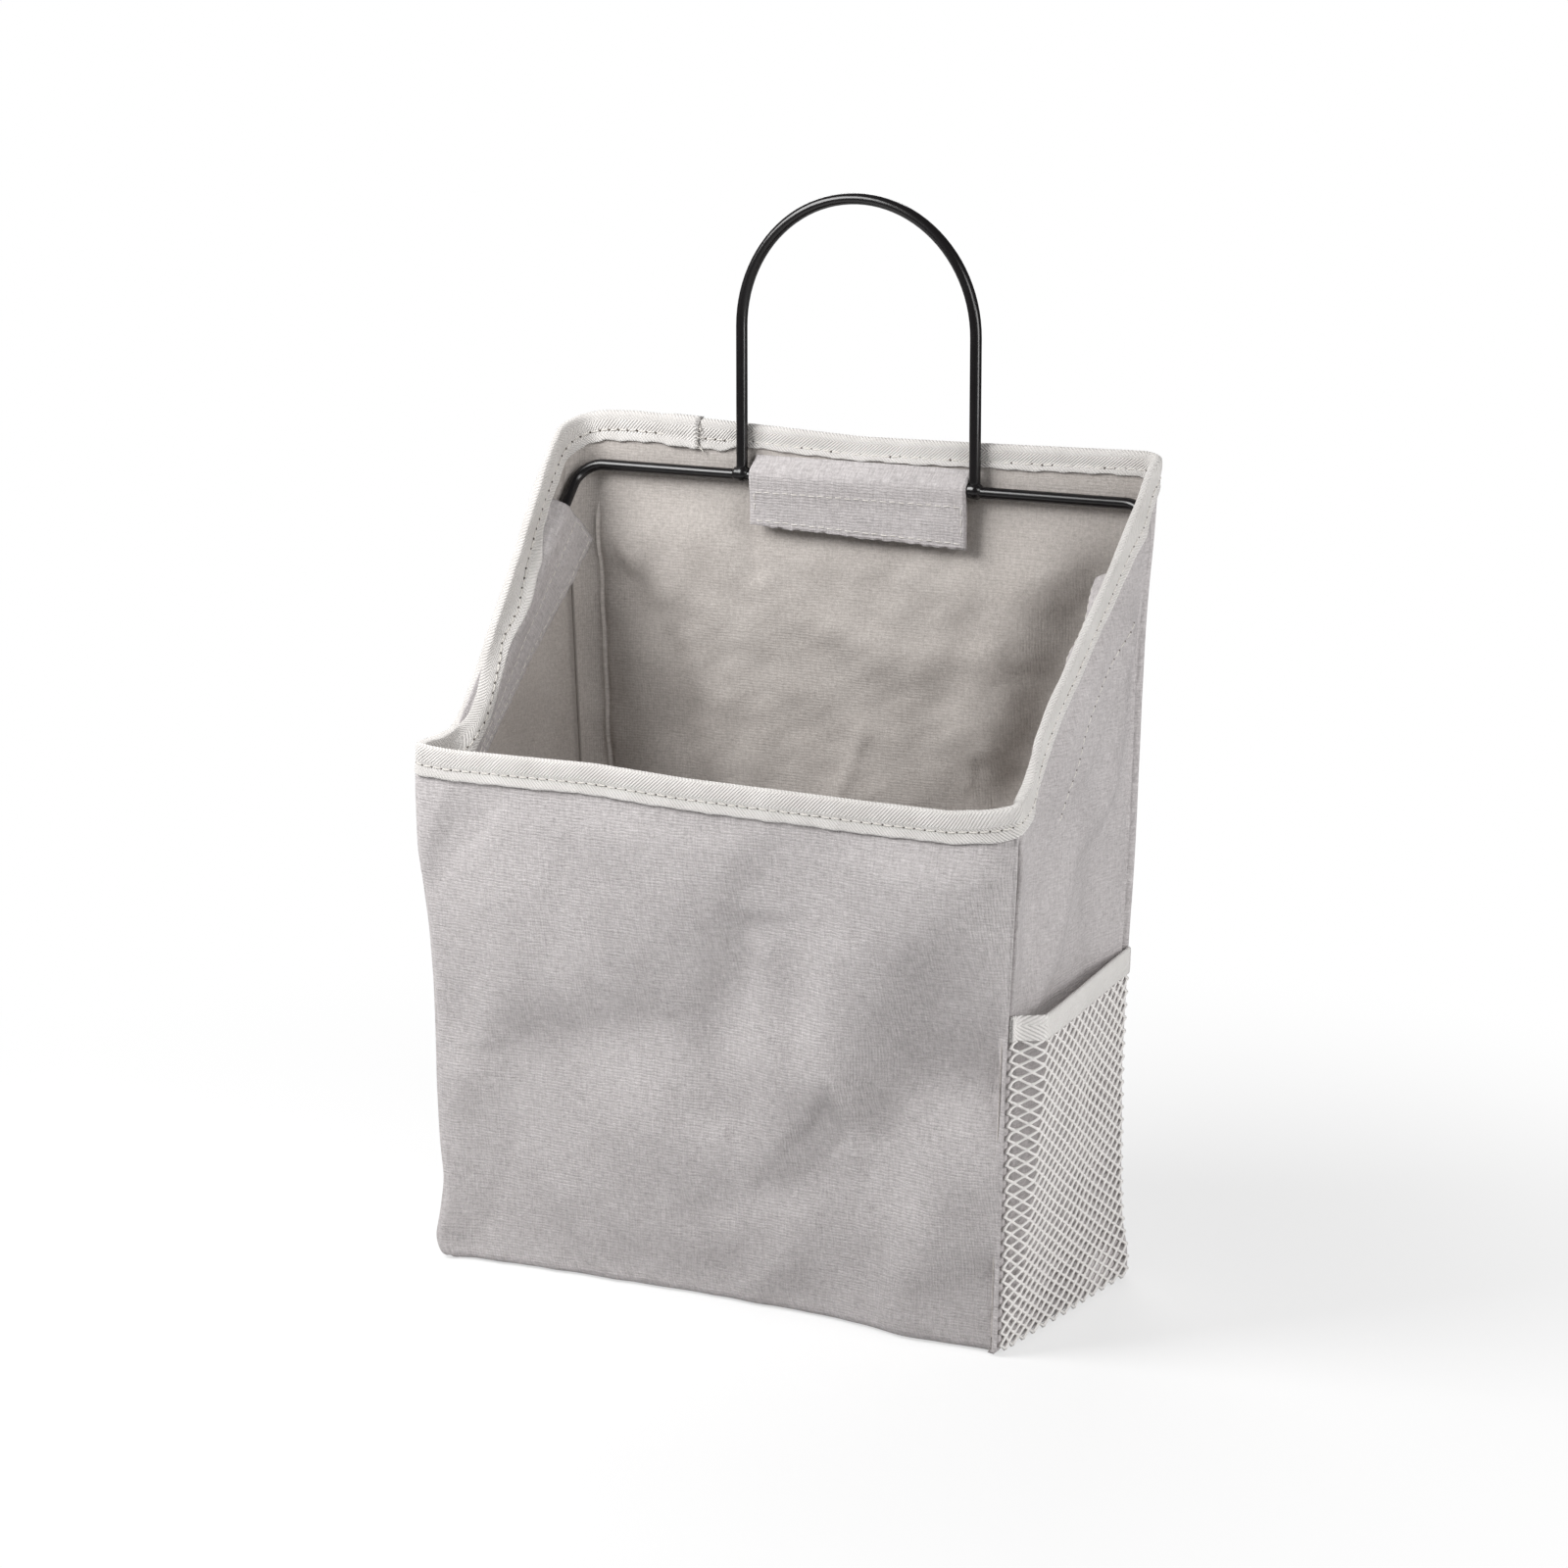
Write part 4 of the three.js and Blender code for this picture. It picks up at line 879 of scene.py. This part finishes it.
# A row of stitches on the outside of the right wall, beside the slope, holds the loop tape inside.
row_y = np.linspace(-18, 26, 90)
row_z = np.interp(row_y, [-18, -16.2, -4.5, 6.8, 21.7, 26], [151, 153.5, 174.2, 186.7, 201, 205])
place, up = face(side_way(1, row_y), row_z + 0.25 * np.sin(row_y / 3))
sewn.append(stitches(place - 0.05 * up, up, 2.3, 1.1, 0.2))
pricked.append(needle_holes(place, up, 3.4, 2.8, 0.3))
rim_stitching = mesh_object("rim_stitching", *joined(sewn), [thread])
rim_holes = mesh_object("rim_needle_hole_shadows", *joined(pricked), [needle_hole_shadow])
# The weft has frayed out of the lapped end, as short loose threads.
loose = []
for k, low in enumerate((0.8, 2.3, 3.9, 5.2, 6.6, 7.9, 8.7)):
    t = np.linspace(0, 1, 9)
    reach = 1.6 + 1.3 * math.sin(3 * k) + (2.0 if low > 8 else 0)
    down = low + t * t * (1.2 + 1.1 * math.sin(5 * k + 1))
    hair = lifted(LAP_START + 0.4 - t * reach, -2.35 + 0.3 * np.sin(4 * t + k), down)
    loose.append(tube(hair, 0.13, (0.2, 0.9, 0.3), 5))
rim_threads = mesh_object("rim_loose_threads", *joined(loose), [thread])
for piece in (rim_tape, rim_stitching, rim_holes, rim_threads):
    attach(piece, "bag")
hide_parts("rim_binding")


# Wire frame: 3.5 mm steel wire, bent to a ring that lies on the slope inside the rim, and a hoop welded
# on the back rod to hang the bag by. A black dip coating, soft-edged and half glossy, covers both.
RING_BEND = 8.0
WIRE_BLACK = "#141213"
BEAD, BEAD_REACH, BEAD_SIDES = 2.5, 2.9, 20


def filleted(corners, radius, steps=12):
    """A closed path through corners, each rounded to a radius."""
    path = []
    for k, corner in enumerate(corners):
        before, after = unit(corners[k - 1] - corner), unit(corners[(k + 1) % len(corners)] - corner)
        half = math.acos(float(before @ after)) / 2
        reach = radius / math.tan(half)
        centre = corner + unit(before + after) * radius / math.sin(half)
        a, b = corner + before * reach - centre, corner + after * reach - centre
        turn = math.pi - 2 * half
        path += [centre + (a * math.sin(turn * (1 - t)) + b * math.sin(turn * t)) / math.sin(turn)
                 for t in np.linspace(0, 1, steps)]
    return np.array(path)


def dipped(name, colour):
    """Dip-coated steel: a black polymer skin, darker than paint, with a soft sheen and slight runs."""
    made, tree = new_material(name)
    place = add(tree, "TexCoord").outputs["Object"]
    runs = add(tree, "TexNoise", {"Vector": place, "Scale": 160.0, "Detail": 2.0})
    gloss = add(tree, "MapRange", {"Value": runs, "To Min": 0.18, "To Max": 0.28})
    finished(tree, runs, 0.1, 0.0004, {
        "Base Color": linear(colour), "Roughness": gloss, "IOR": 1.5, "Specular IOR Level": 0.5})
    return made


coating = dipped("black_dipped_steel_wire", WIRE_BLACK)
corners = [np.array([sign * (ARM_X + ARM_LEAN * z), y, z]) for sign, y, z in (
    (1, -ROD_Y, FRONT_ROD_Z), (1, ROD_Y, ROD_Z), (-1, ROD_Y, ROD_Z), (-1, -ROD_Y, FRONT_ROD_Z))]
path = filleted(corners, RING_BEND)
dense = []
for a, b in zip(path, np.roll(path, -1, 0)):
    pieces = max(1, int(np.linalg.norm(b - a) / 4))
    dense += [a + (b - a) * k / pieces for k in range(pieces)]
ring_normal = np.cross(corners[1] - corners[0], (1, 0, 0))
ring_wire = mesh_object("ring_wire", *tube(dense, WIRE, ring_normal, 24, closed=True), [coating])
arch_z = HOOP_TOP + WIRE - HOOP_X
turns = np.linspace(0, np.pi, 49)
hoop_path = ([(HOOP_X, ROD_Y, z) for z in np.arange(ROD_Z, arch_z, 3.0)]
             + [(HOOP_X * math.cos(t), ROD_Y, arch_z + HOOP_X * math.sin(t)) for t in turns]
             + [(-HOOP_X, ROD_Y, z) for z in np.arange(ROD_Z, arch_z, 3.0)[::-1]])
parts = [tube(hoop_path, WIRE, (0, 1, 0), 24)]
# A bead of weld at each foot of the hoop, a little uneven.
for sign in (-1, 1):
    turn = np.linspace(-1, 1, 15) * np.pi / 2
    bead = [(sign * HOOP_X + BEAD_REACH * math.sin(t), ROD_Y - 0.15, ROD_Z + 0.35) for t in turn]
    lump = BEAD * np.cos(turn) ** 0.6 + 0.12 * np.sin(5 * turn) + 0.05
    parts.append(tube(bead, np.maximum(lump, 0.05), (0, 1, 0), BEAD_SIDES))
hanging_wire = mesh_object("hanging_wire", *joined(parts), [coating])
for piece, node in ((ring_wire, "wire_ring"), (hanging_wire, "hanging_hoop")):
    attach(piece, "bag")
    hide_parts(node)


# Flaps: strips of the same canvas sewn under the binding. Each is folded over the wire and closes below
# it with hook tape on the flap and loop tape on the wall, so the wire can be taken out to wash the bag.
CLOTH_STEP = 1.3
STRIP_TOP, STRIP_END, STRIP_IN = 2.9, 12.9, 2.5
HOOK_STANDS, LOOP_STANDS = 1.95, 0.75
HEM_IN, HEM_TOP, HEM_LOW = 1.6, 4.6, 1.7
HOOK_GREY, LOOP_GREY = "#C9C6C1", "#C4C0BB"
# Hook tape is stiff nylon with a faint gloss, and its hooks are too fine to show. Loop tape is a matt pile.
hook_tape = plain("nylon_hook_tape", HOOK_GREY, 0.6)
loop_tape = plain("nylon_loop_pile_tape", LOOP_GREY, 0.95)


def thick(name, middle, thickness, flat, materials):
    """A closed sheet round a grid of points on its middle surface."""
    across, down = np.gradient(middle, axis=1), np.gradient(middle, axis=0)
    out = unit(np.cross(across, down)) * thickness / 2
    return two_faced(name, middle + out, middle - out, flat, materials)


def frayed(a, seed):
    """The uneven cut edge of a flap."""
    return 0.35 * (ripple(a, 0 * a, 2.1, seed) + 0.6 * ripple(a, 0 * a, 0.8, seed + 1))


def side_place(sign):
    """Points beside an arm of the ring: a mm along it, d mm below it and w mm in from the wall."""
    start, along, down, inward = arm_frame(sign)
    start = start - inward * WIRE_STANDS

    def place(a, d, w):
        return start + np.multiply.outer(a, along) + np.multiply.outer(d, down) + np.multiply.outer(w, inward)
    return place


def level_place(end, rod_z):
    """The same beside the back or front rod, where end is 1 or -1."""
    def place(a, d, w):
        a, d, w = np.broadcast_arrays(a, d, w)
        return np.stack([-end * a, end * (INNER_Y - w), rod_z - d], -1)
    return place


def add_flap(side, place, span, top, free, standing, seed, zone, short=2.4):
    """A flap over the wire with its two strips and its seam. Its cloth starts at top and ends at free below
    the wire. standing is how far it stands off, and the strips end short mm before its end."""
    body = side + "_flap"
    count = round((span[1] - span[0]) / CLOTH_STEP)

    def lying(a, d):
        """How far the flap stands off where it lies: its waves and its own stand."""
        return 0.22 * ripple(a, d, 17, seed + 2) * eased(d / 6) + standing(a, d)

    a = np.arange(span[0], span[1] + 0.01, (span[1] - span[0]) / count)
    t = np.linspace(0, 1, 34)[:, None]
    d = top + t * (free(a) + frayed(a, seed) - top)
    a = np.broadcast_to(a, d.shape)
    flap = thick(side + "_flap_cloth", place(a, d, over_wire(d) + lying(a, d)), CANVAS, np.stack([a, d], -1),
                 [canvas, canvas])
    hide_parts(side + "_flap")
    start, end = (place(np.array(0.0), np.array(float(z[0])), np.array(float(z[1]))) * MM for z in zone)
    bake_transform(flap)
    for kind, made_of, owner in (("hook", hook_tape, body), ("loop", loop_tape, "bag")):
        a = np.arange(span[0] + STRIP_IN, span[1] - short, CLOTH_STEP)
        d = STRIP_TOP + np.linspace(0, 1, 9)[:, None] * (np.minimum(free(a) - 0.7, STRIP_END) - STRIP_TOP)
        a = np.broadcast_to(a, d.shape)
        w = HOOK_STANDS + lying(a, d) if kind == "hook" else LOOP_STANDS + 0 * d
        strip = thick(f"{side}_{kind}_tape", place(a, d, w), 0.8, np.stack([a, d], -1), [made_of])
        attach(strip, owner)
        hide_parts(f"{side}_{kind}_strip")
    # The row of stitches runs round the strip, as four lines.
    left, right = span[0] + HEM_IN, span[1] - HEM_IN
    low_left, low_right = float(free(left)) - HEM_LOW, float(free(right)) - HEM_LOW
    rows = []
    for x0, y0, x1, y1 in ((left, HEM_TOP, right, HEM_TOP), (left, low_left, right, low_right),
                           (left, HEM_TOP, left, low_left), (right, HEM_TOP, right, low_right)):
        if math.dist((x0, y0), (x1, y1)) < 4:
            continue
        share = np.linspace(0, 1, 60)
        x, y = x0 + share * (x1 - x0), y0 + share * (y1 - y0)
        y = y + 0.12 * np.sin(x)
        off = over_wire(y) + lying(x, y) + 0.42
        at = place(x, y, off)
        rows.append(stitches(at, place(x, y, off + 1) - at, 2.2, 0.9, 0.16))
    sewn = mesh_object(side + "_flap_stitching", *joined(rows), [thread])
    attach(sewn, body)


# The back flap stands off a little, the front one lies flat, the left one tapers to the front, and the
# right one has come open at its back end.
add_flap("back", level_place(1, ROD_Z), (-38.2, 36.0), top=-6.2, free=lambda a: 15.0 + 0.034 * (36 - a),
         standing=lambda a, d: 1.5 * eased((d - 0.5) / 5), seed=61, zone=((-5.6, 1.0), (-3.4, 3.2)))
add_flap("front", level_place(-1, FRONT_ROD_Z), (-70, 70), top=-6.4, free=lambda a: 15.5 + 0 * a,
         standing=lambda a, d: 0 * a, seed=62, zone=((-5.6, 1.0), (-3.4, 3.2)))
add_flap("left", side_place(-1), (17, 112.5), top=-5.6, free=lambda a: 7.2 + (a - 17) * 0.096,
         standing=lambda a, d: (0.9 + 1.6 * eased((a - 60) / 40)) * eased((d - 1) / 6), seed=63,
         zone=((-1.2, 5.4), (3.6, 4.1)), short=6.0)
add_flap("right", side_place(1), (17, 110.5), top=-5.6, free=lambda a: 14.5 + 0 * a,
         standing=lambda a, d: (2.4 + 11.4 * eased((a - 55) / 30) + 1.7 * ripple(a, 0 * a, 26, 71))
         * eased((d - 2) / 12), seed=64, zone=((-1.2, 5.4), (3.6, 4.1)), short=12.0)


# Side pockets: a white net of knotted polyester on each side, sewn in at both seams and at the bottom,
# with a folded tape along its top. It stands off the wall most near the front.
POCKET_TOP, NET_TOP = 100.0, 93.0
POCKET_FRONT, POCKET_RUN = -43.5, 83.0
BELLY, TOP_RISES = 8.0, 2.5
MESH_WIDE, MESH_HIGH = 6.4, 3.84
STRAND, KNOT = 0.42, 0.55
BAND_LEG = [(0.55, 7.4), (0.72, 7.0), (0.78, 5.0), (0.70, 2.6), (0.74, 1.0), (0.6, 0.2)]
BAND_INSIDE = [(-0.05, 7.4), (-0.05, 0.9), (0.05, 0.9), (0.05, 7.4)]
NET_WHITE = "#ECE9E6"
# Polyester yarn is plain white and keeps a faint gloss along each strand.
pocket_net = plain("white_polyester_net", NET_WHITE, 0.6)


def pocket(sign, y, z, off=0.0):
    """A point of the pocket on one side, off mm outside the net's own line."""
    y, z, off = np.broadcast_arrays(y, z, off)
    back = np.clip((y - POCKET_FRONT) / POCKET_RUN, 0, 1)
    up = np.clip(z / POCKET_TOP, 0, 1)
    belly = BELLY * eased(back / 0.07) * (1 - back) ** 0.9 * np.sin(np.pi / 2 * up)
    if sign < 0:
        belly = np.minimum(belly, 0.4 * (y + 43.8))
    low, high = (RIGHT_START, BACK_START) if sign > 0 else (LEFT_START, AROUND)
    wall_x = outline(np.clip(side_way(sign, y), low, high - 0.01), z)[..., 0]
    z = z + TOP_RISES * back * up ** 4
    crumple = 0.6 * ripple(y, z, 30, 81) * np.sin(np.pi * back) * np.clip((POCKET_TOP - z) / 30, 0, 1)
    return np.stack([wall_x + sign * (0.75 + belly + crumple + off), y, z], -1)


for side, sign in (("left", -1), ("right", 1)):
    front, back = (-43.2 if sign < 0 else -45.0), 38.6
    # Strands cross at a slant. They are spaced by their way along the bellied net, and thicken at the knots.
    fine = np.linspace(front, back, 900)
    bend = np.hypot(np.diff(fine), np.diff(pocket(sign, fine, 60.0)[:, 0]))
    along_net = np.concatenate([[0], np.cumsum(bend)]) * (back - front) / bend.sum()
    strands = []
    tall, wide = (NET_TOP - 1.0) / MESH_HIGH, (back - front) / MESH_WIDE
    for slant in (-1, 1):
        for start in np.arange(-tall if slant > 0 else 0, wide if slant > 0 else wide + tall, 1.0) + 0.5:
            v = np.arange(0, tall + 0.01, 0.125)
            u = start + slant * v
            keep = (u >= 0) & (u <= wide)
            if keep.sum() < 4:
                continue
            knots = np.exp(-((np.mod(2 * v[keep] + 0.5, 1) - 0.5) / 0.16) ** 2)
            line = pocket(sign, np.interp(u[keep] * MESH_WIDE, along_net, fine), 1.0 + v[keep] * MESH_HIGH,
                          slant * 0.12 * (1 - knots))
            strands.append(tube(line, STRAND * (1 + KNOT * knots), (1, 0, 0), 6))
    net = mesh_object(f"{side}_net", *joined(strands), [pocket_net])
    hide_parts(f"{side}_pocket_net")
    ys = front + (back - front) * np.linspace(0, 1, 70) ** 1.15
    band = np.array(BAND_LEG + [(0.0, -0.15)] + [(-n, s) for n, s in BAND_LEG[::-1]] + BAND_INSIDE)
    n, s = (np.broadcast_to(column, (len(ys), len(band))) for column in band.T)
    y = np.broadcast_to(ys[:, None], n.shape)
    points, faces = swept(pocket(sign, y, POCKET_TOP - s, n))
    # The whole pocket tape takes most of the tape's lighter edge tone: a painted lightening for the light
    # that falls on it from the right.
    flat = np.stack([y, np.broadcast_to(reached(band), y.shape), 0 * y + 0.8], -1)
    band_tape = mesh_object(f"{side}_pocket_tape", points, faces, [herringbone], cloth=flat)
    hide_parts(f"{side}_pocket_band")
    for piece in (net, band_tape):
        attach(piece, "bag")


# Bounds of everything shown, leaving out the floor
low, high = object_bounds()
